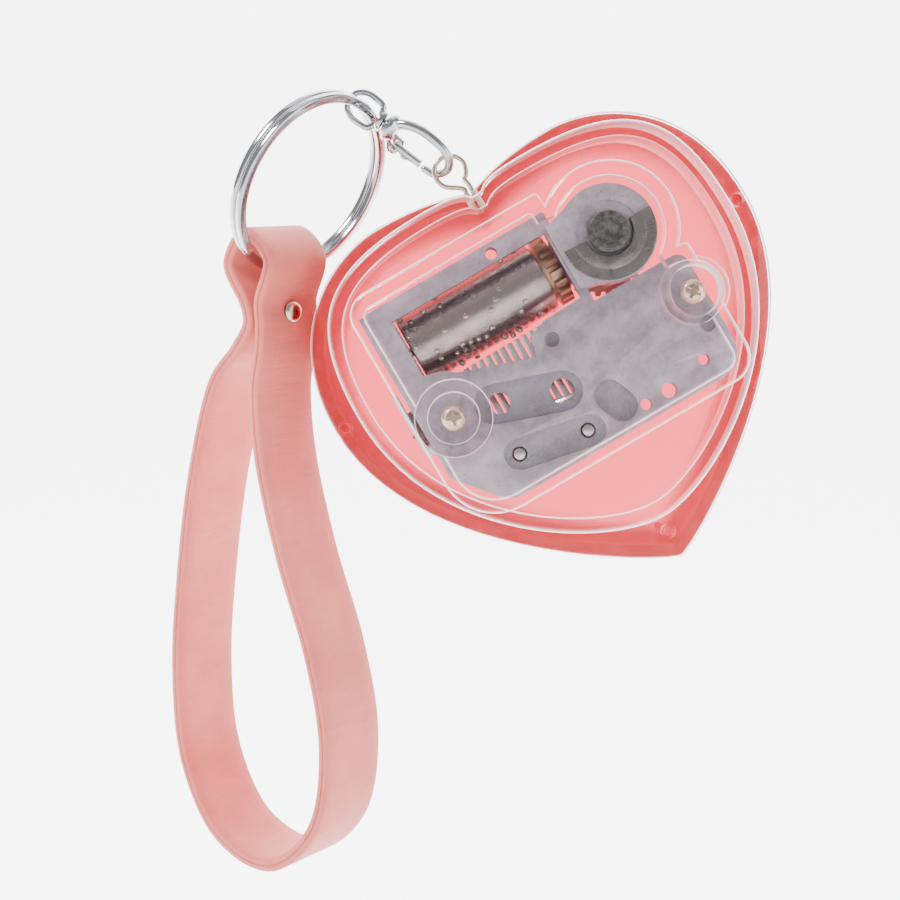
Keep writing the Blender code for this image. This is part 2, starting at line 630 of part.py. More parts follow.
def build_governor(case):
    wheel_axis = frame("governor_wheel_axis", case, (0, CYLINDER_Y, GOVERNOR_WHEEL_Z))
    wheel = plate("governor_wheel", gear_outline(3.1, 0.45, 24), -24.7, -23.7 - 0.2, wheel_axis,
                  steel, axis="X")
    join(wheel, plate("governor_pinion", gear_outline(1.35, 0.45, 9), -24.2, -21.8, wheel_axis,
                      axis="X"),
         rod("governor_arbor", 0.5, (-26.1, 0, 0), (-21.4, 0, 0), wheel_axis, sides=16))
    worm_axis = frame("worm_axis", case, (WORM_X, 0, WORM_Z))
    worm = pin("worm", 0.5, 0, 0, -3.6, 11.9, worm_axis, steel, sides=16)
    join(worm, pin("worm_thread", 1.05, 0, 0, -0.6, 4.6, worm_axis, sides=20))
    fly = pin("governor_fly", 1.3, 0, 0, 8.8, 11.2, worm_axis, brown_plastic, sides=20)
    join(fly, block("fly_vanes", (-4.3, 8.9, -0.25), (4.3, 11.7, 0.25), worm_axis))
    cut(fly, pin("fly_bore", 0.5 + 0.3, 0, 0, 7, 13, worm_axis, sides=16))
    bracket = block("governor_bracket", (-27.9, -3.7, -2.2), (-27.1, 8.2, 9.0), case, steel)
    join(bracket, block("bracket_arm", (-27.9, 7.4, -0.5), (-22.4, 8.2, 6.0), case),
         block("bracket_foot", (-27.9, -3.7, -2.2), (-23.2, -2.9, -0.9 + 0.4), case))
    cut(bracket, pin("bracket_bearing", 0.8, WORM_X, WORM_Z, 6, 10, case, sides=16))


# ---------------------------------------------------------------- eye, clasp, ring, strap
def build_eye(case):
    x, _, z = EYE_CENTRE
    loop = []
    for i in range(17):
        angle = math.radians(-58 + 296 * i / 16)
        loop.append((x + EYE_RADIUS * math.cos(angle), 0, z + EYE_RADIUS * math.sin(angle)))
    points = ([(0.55, 0, 28.2), (0.55, 0, 31.6), (0.58, 0, 32.9)] + loop
              + [(-0.58, 0, 32.9), (-0.55, 0, 31.6), (-0.55, 0, 28.2)])
    wire("eye_loop", smooth_path(points, 2), EYE_WIRE, case, warm_nickel)


def build_clasp(world):
    heading = math.radians(CLASP_ANGLE)
    along = Vector((math.cos(heading), 0, math.sin(heading)))
    upward = Vector((math.sin(heading), 0, -math.cos(heading)))
    turn = Matrix((along, Vector((0, -1, 0)), upward)).transposed()
    clasp = frame("clasp_axis", world, eye_in_world(), turn)
    hook_plane = frame("hook_plane", clasp, turn=Matrix.Rotation(math.radians(HOOK_ROLL), 3, "X"))
    # the hook lies in the (x, y) plane of its frame, with the clasp's axis along x
    bow = smooth_path([(3.9, -2.7, 0), (1.9, -2.3, 0), (0.55, 0, 0), (1.6, 2.2, 0),
                       (4.2, 3.1, 0), (7.5, 3.2, 0), (10.2, 2.3, 0), (11.8, 1.0, 0)], 4)
    body = wire("clasp_body", bow, 0.8, hook_plane, chrome, sides=3)
    bell = turned("clasp_bell", [(0, 13.2), (1.7, 13.2), (2.2, 12.6), (2.4, 11.6), (1.9, 10.9),
                                 (0, 10.9)], hook_plane,
                  basis=Matrix.Rotation(math.pi / 2, 4, "Y"))
    join(body, bell)
    for i, side in enumerate((-1.5, 0.9)):
        join(body, block(f"gate_ear_{i}", (9.0, -3.2, side), (11.5, -1.3, side + 0.6),
                         hook_plane))
    cut(body, rod("swivel_bore", 0.7 + GAP, (11.9, 0, 0), (15, 0, 0), hook_plane, sides=20),
        rod("gate_pin_hole", 0.45 + 0.15, (9.9, -2.3, -3), (9.9, -2.3, 3), hook_plane, sides=16))
    gate_axis = frame("gate_axis", hook_plane, (9.9, -2.3, 0))
    gate = rod("clasp_gate", 0.75, (-5.3, -0.2, 0), (0.4, 0, 0), gate_axis, chrome, sides=20)
    cut(gate, rod("gate_hole", 0.45 + 0.15, (0, 0, -3), (0, 0, 3), gate_axis, sides=16))
    rod("gate_pin", 0.45, (9.9, -2.3, -1.7), (9.9, -2.3, 1.7), hook_plane, chrome, sides=16)
    stirrup = [(14.5, 0, -0.9), (15.2, 0, -2.2), (16.6, 0, -2.5), (18.4, 0, -2.4),
               (19.8, 0, -1.5), (20.4, 0, 0)]
    stirrup += [(x, 0, -z) for x, _, z in reversed(stirrup[:-1])]
    swivel = wire("swivel_loop", smooth_path(stirrup, 3), 0.55, clasp, chrome)
    join(swivel, rod("swivel_disc", 1.8, (13.5, 0, 0), (14.6, 0, 0), clasp, sides=24),
         rod("swivel_shank", 0.7, (12.3, 0, 0), (14, 0, 0), clasp, sides=20))
    return clasp


def eye_in_world():
    return (case_turn() @ Vector(EYE_CENTRE)) + Vector((0, -CASE_BACK, 0))


def case_turn():
    return Matrix.Rotation(math.radians(-CASE_TILT), 3, "Y")


def ring_axes():
    """Two directions in the ring's plane: along its long look, and away from the clasp."""
    angle, turn = math.radians(RING_AXIS_ANGLE), math.radians(RING_TURN)
    long_way = Vector((math.cos(angle), 0, math.sin(angle)))
    side_way = Vector((-math.sin(angle) * math.cos(turn), -math.sin(turn),
                       math.cos(angle) * math.cos(turn)))
    return long_way, side_way


def ring_centre():
    heading = math.radians(CLASP_ANGLE)
    on_clasp = Vector(eye_in_world()) + RING_ON_CLASP * Vector(
        (math.cos(heading), 0, math.sin(heading)))
    return on_clasp - RING_RADIUS * ring_axes()[0]


def ring_lowest():
    """The lowest point of the ring's wire, where the strap hangs."""
    long_way, side_way = ring_axes()
    angle = math.pi + math.atan2(side_way.z, long_way.z)
    return ring_centre() + RING_RADIUS * (long_way * math.cos(angle) + side_way * math.sin(angle))


def build_ring(world):
    long_way, side_way = ring_axes()
    turn = Matrix((long_way, side_way, long_way.cross(side_way))).transposed()
    ring = frame("ring_axis", world, ring_centre(), turn)
    inner, outer = RING_RADIUS - RING_THICK / 2, RING_RADIUS + RING_THICK / 2
    half = RING_DEPTH / 2
    turned("split_ring", [(outer - 0.15, half), (outer, half - 0.2), (outer, 0.12),
                          (outer - 0.25, 0), (outer, -0.12), (outer, -half + 0.2),
                          (outer - 0.15, -half), (inner + 0.15, -half), (inner, -half + 0.15),
                          (inner, half - 0.15), (inner + 0.15, half)], ring, chrome, sides=56)


def build_strap(world):
    across = Vector(STRAP_ACROSS).normalized()
    sideways = Vector((across.y, -across.x, 0)).normalized()
    turn = Matrix((sideways, across, sideways.cross(across))).transposed()
    strap_frame = frame("strap_axis", world, ring_lowest(), turn)
    path = smooth_path(STRAP_PATH, 5, closed=True)
    half = STRAP_WIDTH / 2
    bm = bmesh.new()
    near = [bm.verts.new(Vector((u, -half, w)) * MM) for u, w in path]
    far = [bm.verts.new(Vector((u, half, w)) * MM) for u, w in path]
    for i in range(len(path)):
        j = (i + 1) % len(path)
        bm.faces.new((near[i], near[j], far[j], far[i]))
    strap = add("wrist_strap", mesh_of(bm, "wrist_strap"), strap_frame, pink_leather)
    thick = strap.modifiers.new("leather", "SOLIDIFY")
    thick.thickness = STRAP_THICK * MM
    thick.offset = 0
    cut(strap, rod("rivet_hole", 1.5, (-6, 0, RIVET_LEVEL), (6, 0, RIVET_LEVEL), strap_frame,
                   sides=20))
    rivet = rod("strap_rivet", 1.2, (-3.3, 0, RIVET_LEVEL), (3.3, 0, RIVET_LEVEL), strap_frame,
                warm_nickel, sides=24)
    for i, side in enumerate((-1, 1)):
        join(rivet, rod(f"rivet_head_{i}", 1.8, (side * 3.15, 0, RIVET_LEVEL),
                        (side * 4.0, 0, RIVET_LEVEL), strap_frame, sides=24, tip_radius=1.2))


def build():
    world = frame("music_box", None)
    case = frame("case", world, (0, -CASE_BACK, 0), case_turn())
    build_front_shell(case)
    build_back_shell(case)
    build_case_screws(case)
    build_base_frame(case)
    build_cylinder(case)
    build_comb(case)
    build_spring_barrel(case)
    build_winding(case)
    build_governor(case)
    build_eye(case)
    build_clasp(world)
    build_ring(world)
    build_strap(world)
    bpy.context.view_layer.update()


clear_scene()
model = collection("heart_music_box")
cutters = collection("cutters")

clear_plastic = material("clear_plastic", (0.95, 0.93, 0.93), 0.05, alpha=0.25)
red_plastic = material("red_plastic", (0.85, 0.12, 0.14), 0.08, alpha=0.45)
zinc = material("zinc", (0.62, 0.61, 0.65), 0.45, metallic=0.8)
nickel = material("nickel", (0.62, 0.58, 0.54), 0.22, metallic=1.0)
warm_nickel = material("warm_nickel", (0.68, 0.58, 0.44), 0.25, metallic=1.0)
steel = material("steel", (0.55, 0.55, 0.55), 0.3, metallic=1.0)
dark_steel = material("dark_steel", (0.18, 0.19, 0.18), 0.5, metallic=0.9)
screw_steel = material("screw_steel", (0.75, 0.66, 0.5), 0.25, metallic=1.0)
copper = material("copper", (0.55, 0.33, 0.22), 0.35, metallic=1.0)
chrome = material("chrome", (0.75, 0.76, 0.78), 0.08, metallic=1.0)
cream_plastic = material("cream_plastic", (0.82, 0.78, 0.68), 0.5)
brown_plastic = material("brown_plastic", (0.2, 0.12, 0.08), 0.5)
pink_leather = material("pink_leather", (0.78, 0.5, 0.48), 0.6)

build()
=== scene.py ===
"""Heart-shaped wind-up music box on a swivel clasp, a split ring and a leather wrist strap.

Every sub-assembly is a class that holds its sizes in millimetres, builds its pieces and dresses
them in a finish. The case and its movement are laid out in the case's own frame: x to the right
along the movement, y towards the back, z up towards the notch, y = 0 where the shells meet.
"""
import logging  # noqa: E402
import math  # noqa: E402
import random  # noqa: E402
from dataclasses import dataclass  # noqa: E402
from enum import Enum  # noqa: E402
from typing import Any, Iterable, Sequence  # noqa: E402

import bmesh  # noqa: E402
import bpy  # noqa: E402
from mathutils import Matrix, Vector  # noqa: E402
from mathutils.geometry import interpolate_bezier  # noqa: E402


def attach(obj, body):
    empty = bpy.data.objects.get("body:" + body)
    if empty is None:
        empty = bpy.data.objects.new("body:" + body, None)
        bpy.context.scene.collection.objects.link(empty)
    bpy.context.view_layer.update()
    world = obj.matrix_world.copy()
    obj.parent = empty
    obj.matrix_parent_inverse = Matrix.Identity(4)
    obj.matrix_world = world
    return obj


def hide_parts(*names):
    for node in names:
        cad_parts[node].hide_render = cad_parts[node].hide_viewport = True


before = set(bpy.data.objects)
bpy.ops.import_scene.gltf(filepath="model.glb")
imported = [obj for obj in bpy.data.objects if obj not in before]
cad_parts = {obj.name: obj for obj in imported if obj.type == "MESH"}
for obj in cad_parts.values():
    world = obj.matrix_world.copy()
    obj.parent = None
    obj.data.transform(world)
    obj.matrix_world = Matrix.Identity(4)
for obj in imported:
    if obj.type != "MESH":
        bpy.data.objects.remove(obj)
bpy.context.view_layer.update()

log = logging.getLogger("music_box")

MM = 0.001
SAME_POINT = 0.002 * MM
KEPT_EDGE = 38.0

Colour = tuple[float, float, float]
Point2 = tuple[float, float]
Level = tuple[float, float]

ARBOR = (15.0, 14.2)
CASE_SCREWS = ((-21.0, 1.1), (21.85, -0.7))
PEGS = ((-36.9, 8.7), (36.9, 8.7), (0.0, -32.3))
CASE_SHIFT = -17.0


class Body(Enum):
    """The rigid bodies that new pieces ride on."""

    CASE = "case"
    WINDING = "winding"
    TUNE = "tune"
    CLASP = "clasp"
    GATE = "gate"
    SWIVEL = "swivel"
    RING = "ring"
    STRAP = "strap"


class Ply(Enum):
    """The strap's surfaces, in the order of its materials."""

    OUTER = 0
    INNER = 1
    OUTER_EDGE = 2
    INNER_EDGE = 3
    SEAM = 4


# ------------------------------------------------------------------ places
def turned_frame(x_axis: Vector, y_axis: Vector, place: Vector) -> Matrix:
    """A frame from two of its axes and its place in millimetres.

    Args:
        x_axis: the first axis, of length one.
        y_axis: the second axis.
        place: the frame's origin.

    Returns:
        The frame, in metres.
    """
    z_axis = x_axis.cross(y_axis)
    turn = Matrix((x_axis, y_axis, z_axis)).transposed().to_4x4()
    return Matrix.Translation(place * MM) @ turn


TILT = math.radians(30.3)
CASE = Matrix.Translation((0, CASE_SHIFT * MM, 0)) @ Matrix.Rotation(-TILT, 4, "Y")
EYE = Vector((-1.0, 0, 36.4))
EYE_PLACE = (CASE @ (EYE * MM)) / MM
CLASP_ANGLE = math.radians(143.8)
CLASP_WAY = Vector((math.cos(CLASP_ANGLE), 0, math.sin(CLASP_ANGLE)))
CLASP = turned_frame(CLASP_WAY, Vector((0, -1, 0)), EYE_PLACE)
HOOK = CLASP @ Matrix.Rotation(math.radians(45), 4, "X")
RING_LEAN = math.radians(55)
RING_TURN = math.radians(60)
RING_LONG = Vector((math.cos(RING_LEAN), 0, math.sin(RING_LEAN)))
RING_SIDE = Vector((-math.sin(RING_LEAN) * 0.5, -math.sin(RING_TURN),
                    math.cos(RING_LEAN) * 0.5))
RING_RADIUS = 15.2
CLASP_REACH = 17.6
RING_PLACE = EYE_PLACE + CLASP_REACH * CLASP_WAY - RING_RADIUS * RING_LONG
RING = turned_frame(RING_LONG, RING_SIDE, RING_PLACE)
LOWEST = math.pi + math.atan2(RING_SIDE.z, RING_LONG.z)
STRAP_PLACE = RING_PLACE + RING_RADIUS * (RING_LONG * math.cos(LOWEST)
                                          + RING_SIDE * math.sin(LOWEST))
STRAP_ACROSS = Vector((0.630, 0.765, 0.130)).normalized()
STRAP_SIDE = Vector((STRAP_ACROSS.y, -STRAP_ACROSS.x, 0)).normalized()
STRAP = turned_frame(STRAP_SIDE, STRAP_ACROSS, STRAP_PLACE)
TO_BACK = Matrix.Rotation(-math.pi / 2, 4, "X")
TO_SIDE = Matrix.Rotation(math.pi / 2, 4, "Y")


def on_case(x: float, z: float, y: float = 0.0) -> Matrix:
    """A frame on the case at (x, y, z) whose own z axis runs towards the back."""
    return CASE @ Matrix.Translation((x * MM, y * MM, z * MM)) @ TO_BACK


# ------------------------------------------------------------------ shaders
class Value:
    """A shader socket that can be used in arithmetic with other sockets and numbers."""

    def __init__(self, shader: "Shader", socket: bpy.types.NodeSocket) -> None:
        """Wraps a socket.

        Args:
            shader: the material that the socket belongs to.
            socket: the output socket.
        """
        self.shader = shader
        self.socket = socket

    def math(self, operation: str, *others: "Value | float", swap: bool = False) -> "Value":
        """A Math node on this value.

        Args:
            operation: the Math node's operation.
            others: the other operands.
            swap: put this value after the first other one.

        Returns:
            The node's result.
        """
        terms: list[Value | float] = [self, *others]
        if swap:
            terms.reverse()
        node = self.shader.node("Math", {"operation": operation}, dict(enumerate(terms)))
        return Value(self.shader, node.outputs[0])

    def __add__(self, other: "Value | float") -> "Value":
        """Sum."""
        return self.math("ADD", other)

    __radd__ = __add__

    def __mul__(self, other: "Value | float") -> "Value":
        """Product."""
        return self.math("MULTIPLY", other)

    __rmul__ = __mul__

    def __sub__(self, other: "Value | float") -> "Value":
        """Difference."""
        return self.math("SUBTRACT", other)

    def __rsub__(self, other: "Value | float") -> "Value":
        """Difference from a number."""
        return self.math("SUBTRACT", other, swap=True)

    def above(self, edge: float, soft: float) -> "Value":
        """A soft step from 0 to 1 round an edge.

        Args:
            edge: the value at the middle of the step.
            soft: half the width of the step.

        Returns:
            The step.
        """
        node = self.shader.node(
            "MapRange", {"interpolation_type": "SMOOTHSTEP"},
            {0: self, 1: edge - soft, 2: edge + soft, 3: 0.0, 4: 1.0})
        return Value(self.shader, node.outputs[0])


class Shader:
    """One material's node tree."""

    def __init__(self, name: str) -> None:
        """Starts an empty material.

        Args:
            name: the material's name.
        """
        self.material = bpy.data.materials.new(name)
        self.material.use_nodes = True
        self.tree = self.material.node_tree
        self.tree.nodes.clear()
        self.output = self.tree.nodes.new("ShaderNodeOutputMaterial")

    def node(self, kind: str, settings: dict[str, Any] | None = None,
             sockets: dict[Any, Any] | None = None) -> bpy.types.Node:
        """Adds a node.

        Args:
            kind: the node's type, without its ShaderNode prefix.
            settings: its properties; "stops" holds a ramp's (place, colour) pairs.
            sockets: values or links, by socket name or number.

        Returns:
            The node.
        """
        node = self.tree.nodes.new("ShaderNode" + kind)
        for key, value in (settings or {}).items():
            if key == "stops":
                self.fill_ramp(node, value)
            else:
                setattr(node, key, value)
        for key, value in (sockets or {}).items():
            if isinstance(value, Value):
                self.tree.links.new(value.socket, node.inputs[key])
            else:
                node.inputs[key].default_value = value
        return node

    @staticmethod
    def fill_ramp(node: bpy.types.Node, stops: Sequence[tuple[float, Colour]]) -> None:
        """Gives a ramp its stops.

        Args:
            node: the ramp's node.
            stops: (place, colour) pairs, in order.
        """
        ramp = node.color_ramp
        while len(ramp.elements) < len(stops):
            ramp.elements.new(0.5)
        for element, (place, colour) in zip(ramp.elements, stops):
            element.position = place
            element.color = (*colour, 1)

    def value(self, kind: str, settings: dict[str, Any] | None = None,
              sockets: dict[Any, Any] | None = None, output: Any = 0) -> Value:
        """Adds a node and gives one of its outputs."""
        return Value(self, self.node(kind, settings, sockets).outputs[output])

    def place(self, stretch: Colour = (1, 1, 1), source: str = "Object") -> Value:
        """Texture coordinates in millimetres, stretched along the case's axes or the band's.

        Args:
            stretch: the scale along each axis.
            source: Object for the case's axes, UV for the band's map.

        Returns:
            The coordinates.
        """
        start = self.value("TexCoord", output=source)
        if source == "Object":
            start = self.value("Mapping", None, {
                "Vector": start, "Rotation": (0, TILT, 0), "Scale": (1 / MM,) * 3})
        return self.value("Mapping", None, {"Vector": start, "Scale": stretch})

    def noise(self, place: Value, scale: float, detail: float = 3.0,
              roughness: float = 0.55) -> Value:
        """Fractal noise, from 0 to 1, with a scale in repeats per millimetre."""
        return self.value("TexNoise", None, {
            "Vector": place, "Scale": scale, "Detail": detail, "Roughness": roughness})

    def specks(self, place: Value, scale: float) -> Value:
        """Distance to the nearest of a field of scattered points."""
        return self.value("TexVoronoi", None, {"Vector": place, "Scale": scale})

    def mix(self, share: Value | float, first: Any, second: Any) -> Value:
        """A blend of two colours.

        Args:
            share: how much of the second colour shows.
            first: a colour or a link.
            second: a colour or a link.

        Returns:
            The blended colour.
        """
        ends = [(*c, 1) if isinstance(c, tuple) else c for c in (first, second)]
        node = self.node("Mix", {"data_type": "RGBA"}, {0: share, 6: ends[0], 7: ends[1]})
        return Value(self, node.outputs[2])

    def bump(self, height: Value, depth: float, strength: float = 1.0,
             under: Value | None = None) -> Value:
        """A Bump node; depth is the height's size in millimetres.

        Args:
            height: what is raised.
            depth: the height's size in millimetres.
            strength: how much of it shows.
            under: a bump that lies under it.

        Returns:
            The normal.
        """
        sockets: dict[str, Any] = {"Height": height, "Distance": depth * MM,
                                   "Strength": strength}
        if under is not None:
            sockets["Normal"] = under
        return self.value("Bump", None, sockets)

    def principled(self, **sockets: Any) -> bpy.types.Node:
        """The main shader, with socket names written with underscores.

        Args:
            sockets: values or links; a colour has three numbers.

        Returns:
            The shader's node.
        """
        named = {}
        for key, value in sockets.items():
            flat = isinstance(value, tuple) and len(value) == 3 and "colour" in key
            name = key.replace("colour", "color").replace("_", " ").title()
            named[name.replace("Ior", "IOR")] = (*value, 1) if flat else value
        return self.node("BsdfPrincipled", None, named)

    def finish(self, surface: bpy.types.Node) -> bpy.types.Material:
        """Puts a shader on the output and gives the material."""
        self.tree.links.new(surface.outputs[0], self.output.inputs["Surface"])
        return self.material


# ------------------------------------------------------------------ finishes
@dataclass(frozen=True)
class ClearPlastic:
    """Polished see-through plastic: tinted face on, denser along its edges, where a painted glow
    in the edge colour makes them brighter.
    """

    name: str
    tint: Colour
    edge: Colour
    deep: Colour
    veil: float
    rim: float
    onset: float
    soft: float
    waviness: float
    # strength of the painted glow, an emission in the rim colour
    glow: float
    turn: float = 0.3
    coat: float = 0.8
    gloss: float = 0.5

    def make(self) -> bpy.types.Material:
        """Builds the material; what is behind it shows through the Transparent share.

        Returns:
            A mix of clear and body, where the body is a mirror face on and tinted edge on, and
            glows in its rim colour as painted light.
        """
        shader = Shader(self.name)
        place = shader.place()
        flow = shader.noise(place, 0.22, 1.5)
        streaks = shader.noise(shader.place((1.0, 0.3, 1.0)), 0.5, 3.0, 0.6)
        scuffs = shader.noise(shader.place((0.3, 1.0, 2.5)), 1.6, 5.0, 0.7).above(0.66, 0.06)
        normal = shader.bump(flow, self.waviness * 8)
        facing = shader.value("LayerWeight", None, {"Blend": 0.5, "Normal": normal}, "Facing")
        edge_on = facing.above(self.turn, 0.16)
        rim = shader.mix(facing.above(0.84, 0.12), self.edge, self.deep)
        body = shader.principled(
            base_colour=shader.mix(edge_on, (1.0, 1.0, 1.0), rim),
            metallic=1 - edge_on, roughness=0.04 + streaks * 0.05 + scuffs * 0.2,
            specular_ior_level=self.gloss, coat_weight=self.coat, coat_roughness=0.02,
            # painted light: the rim colour is also emitted, so the edges glow
            emission_colour=rim,
            emission_strength=self.glow, normal=normal)
        clear = shader.node("BsdfTransparent", None, {"Color": (*self.tint, 1)})
        share = (facing.above(self.onset, self.soft) * (self.rim * (0.75 + streaks * 0.5))
                 + self.veil + scuffs * 0.03)
        mixed = shader.node("MixShader", None, {
            0: share.math("MINIMUM", 0.97), 1: Value(shader, clear.outputs[0]),
            2: Value(shader, body.outputs[0])})
        return shader.finish(mixed)


@dataclass(frozen=True)
class Metal:
    """Plated, drawn or stamped metal with a grain, small pits and rubbed patches."""

    name: str
    colour: Colour
    dark: Colour
    roughness: float = 0.25
    grain: Colour = (1.0, 1.0, 1.0)
    grain_scale: float = 3.0
    grain_depth: float = 0.004
    patchiness: float = 0.5
    pitting: float = 0.55

    def make(self) -> bpy.types.Material:
        """Builds the material.

        Returns:
            The material.
        """
        shader = Shader(self.name)
        place = shader.place()
        drawn = shader.place(self.grain)
        grain = shader.noise(drawn, self.grain_scale, 4.0)
        patches = shader.noise(place, 0.35, 4.0).above(0.52, 0.16)
        pits = 1 - shader.specks(place, 1.6).above(0.13, 0.05)
        colour = shader.mix(patches * self.patchiness, self.colour, self.dark)
        colour = shader.mix(pits * self.pitting, colour, self.dark)
        return shader.finish(shader.principled(
            base_colour=colour, metallic=1.0,
            roughness=self.roughness + (grain - 0.5) * 0.16 + patches * 0.08,
            normal=shader.bump(grain - pits, self.grain_depth)))


@dataclass(frozen=True)
class CastZinc:
    """Die-cast zinc: pale lavender grey, with flow clouds, a fine skin and dark specks.

    Below the level called sunk, in the case's y, the pockets get painted shade: their colour is
    pulled halfway to a dark blue grey.
    """

    name: str
    light: Colour = (0.52, 0.48, 0.54)
    shade: Colour = (0.24, 0.22, 0.26)
    # the colour of the painted shade in the pockets
    pocket_shade: Colour = (0.12, 0.12, 0.16)
    sunk: float = -5.6

    def make(self) -> bpy.types.Material:
        """Builds the material.

        Returns:
            The material.
        """
        shader = Shader(self.name)
        place = shader.place()
        clouds = shader.noise(place, 0.3, 7.0, 0.72)
        skin = shader.noise(place, 5.0, 5.0, 0.7)
        specks = 1 - shader.specks(place, 0.9).above(0.11, 0.05)
        few = shader.noise(place, 0.5, 2.0).above(0.58, 0.06)
        parts = shader.node("SeparateXYZ", None, {0: place})
        sunk = Value(shader, parts.outputs[1]).above(self.sunk + CASE_SHIFT, 0.12)
        colour = shader.mix(clouds.above(0.52, 0.3), self.light, self.shade)
        # painted shade: below the sunk level the colour is pulled halfway to the pocket shade
        # colour
        colour = shader.mix(sunk * 0.5, colour, self.pocket_shade)
        colour = shader.mix(skin.above(0.6, 0.15) * 0.3, colour, (0.85, 0.85, 0.9))
        colour = shader.mix(specks * few * 0.8, colour, (0.16, 0.16, 0.18))
        return shader.finish(shader.principled(
            base_colour=colour, metallic=0.6, roughness=0.38 + skin * 0.24 + few * 0.05,
            normal=shader.bump(skin + clouds * 0.6, 0.03, 0.8)))


@dataclass(frozen=True)
class TurnedMetal:
    """Metal faced on a lathe: fine rings round the arbor's axis."""

    name: str
    colour: Colour
    dark: Colour
    ring: float = 0.5
    roughness: float = 0.3

    def make(self) -> bpy.types.Material:
        """Builds the material.

        Returns:
            The material.
        """
        shader = Shader(self.name)
        place = shader.place()
        parts = shader.node("SeparateXYZ", None, {0: place})
        across = Value(shader, parts.outputs[0]) - ARBOR[0]
        along = Value(shader, parts.outputs[2]) - ARBOR[1]
        radius = (across * across + along * along).math("SQRT")
        wobble = shader.noise(place, 0.8, 2.0)
        rings = ((radius + wobble * 0.15) * (2 * math.pi / self.ring)).math("SINE")
        stain = shader.noise(place, 1.1, 5.0, 0.65)
        pits = 1 - shader.specks(place, 2.2).above(0.14, 0.06)
        colour = shader.mix(stain.above(0.5, 0.2), self.colour, self.dark)
        colour = shader.mix((rings * 0.5 + 0.5) * 0.35, colour, self.dark)
        return shader.finish(shader.principled(
            base_colour=colour, metallic=0.9, roughness=self.roughness + stain * 0.25,
            normal=shader.bump(rings * 0.5 + stain * 2 - pits * 1.4, 0.02)))


@dataclass(frozen=True)
class MouldedPlastic:
    """Opaque moulded plastic with a fine skin."""

    name: str
    colour: Colour
    shade: Colour
    roughness: float = 0.42

    def make(self) -> bpy.types.Material:
        """Builds the material.

        Returns:
            The material.
        """
        shader = Shader(self.name)
        place = shader.place()
        skin = shader.noise(place, 4.0, 4.0)
        clouds = shader.noise(place, 0.25, 3.0)
        return shader.finish(shader.principled(
            base_colour=shader.mix(clouds.above(0.5, 0.3), self.colour, self.shade),
            roughness=self.roughness + (skin - 0.5) * 0.2, subsurface_weight=0.08,
            normal=shader.bump(skin, 0.015)))


@dataclass(frozen=True)
class Leather:
    """Split leather, coated: a fine pebble grain and soft wrinkles across the strap.

    The strap's own map runs across the band in u and along it in v, in millimetres.
    """

    name: str
    colour: Colour
    shade: Colour
    wrinkle: float = 0.05
    grain: float = 0.035

    def make(self) -> bpy.types.Material:
        """Builds the material.

        Returns:
            The material.
        """
        shader = Shader(self.name)
        flat = shader.place((1, 1, 1), "UV")
        creased = shader.place((0.18, 1.0, 1.0), "UV")
        grain = shader.specks(flat, 2.3)
        fine = shader.noise(flat, 4.5, 3.0)
        wrinkles = shader.noise(creased, 0.8, 4.0, 0.6)
        clouds = shader.noise(flat, 0.09, 3.0)
        pores = 1 - shader.specks(flat, 1.1).above(0.1, 0.05)
        colour = shader.mix(clouds.above(0.5, 0.25), self.colour, self.shade)
        # painted shade: the troughs of the wrinkle bump are darkened towards the shade colour
        colour = shader.mix((1 - wrinkles).above(0.58, 0.14) * 0.3, colour, self.shade)
        colour = shader.mix(pores * 0.35, colour, tuple(0.75 * c for c in self.shade))
        raised = shader.bump(wrinkles, self.wrinkle * 3)
        return shader.finish(shader.principled(
            base_colour=colour, roughness=0.5 + (fine - 0.5) * 0.3, sheen_weight=0.05,
            sheen_roughness=0.5, specular_ior_level=0.28,
            normal=shader.bump(grain * 0.6 + fine * 0.5, self.grain, under=raised)))


@dataclass(frozen=True)
class LeatherEdge:
    """The strap's cut edge: raw, fibrous, with lint caught in the seam between the plies."""

    name: str
    colour: Colour
    dark: Colour

    def make(self) -> bpy.types.Material:
        """Builds the material.

        Returns:
            The material.
        """
        shader = Shader(self.name)
        fibres = shader.noise(shader.place((1.0, 1.0, 1.0)), 2.6, 5.0, 0.7)
        lint = 1 - shader.specks(shader.place(), 1.5).above(0.2, 0.08)
        colour = shader.mix(fibres.above(0.5, 0.2) * 0.5, self.colour, self.dark)
        colour = shader.mix(lint * 0.3, colour, tuple(0.55 * c for c in self.dark))
        return shader.finish(shader.principled(
            base_colour=colour, roughness=0.75, specular_ior_level=0.25,
            normal=shader.bump(fibres, 0.12)))


@dataclass(frozen=True)
class Paper:
    """The pale sweep of the studio, lit from behind where it rises past the object."""

    name: str
    card: Colour
    colour: Colour
    dim: Colour
    glow: float

    def make(self) -> bpy.types.Material:
        """Builds the material.

        Returns:
            The material.
        """
        shader = Shader(self.name)
        tooth = shader.noise(shader.place(), 0.8, 3.0)
        parts = shader.node("SeparateXYZ", None, {0: shader.place()})
        behind = Value(shader, parts.outputs[1]).above(60.0, 90.0)
        return shader.finish(shader.principled(
            base_colour=self.card, roughness=0.9,
            emission_colour=shader.mix(behind, self.dim, self.colour),
            emission_strength=self.glow, normal=shader.bump(tooth, 0.02)))


@dataclass(frozen=True)
class Finishes:
    """Every finish on the object, made once."""

    clear: bpy.types.Material
    red: bpy.types.Material
    zinc: bpy.types.Material
    nickel: bpy.types.Material
    warm_nickel: bpy.types.Material
    steel: bpy.types.Material
    spring_steel: bpy.types.Material
    arbor: bpy.types.Material
    clip: bpy.types.Material
    pins: bpy.types.Material
    comb: bpy.types.Material
    screw: bpy.types.Material
    copper: bpy.types.Material
    chrome: bpy.types.Material
    cream: bpy.types.Material
    brown: bpy.types.Material
    leather_outer: bpy.types.Material
    leather_inner: bpy.types.Material
    edge_outer: bpy.types.Material
    edge_inner: bpy.types.Material
    seam: bpy.types.Material


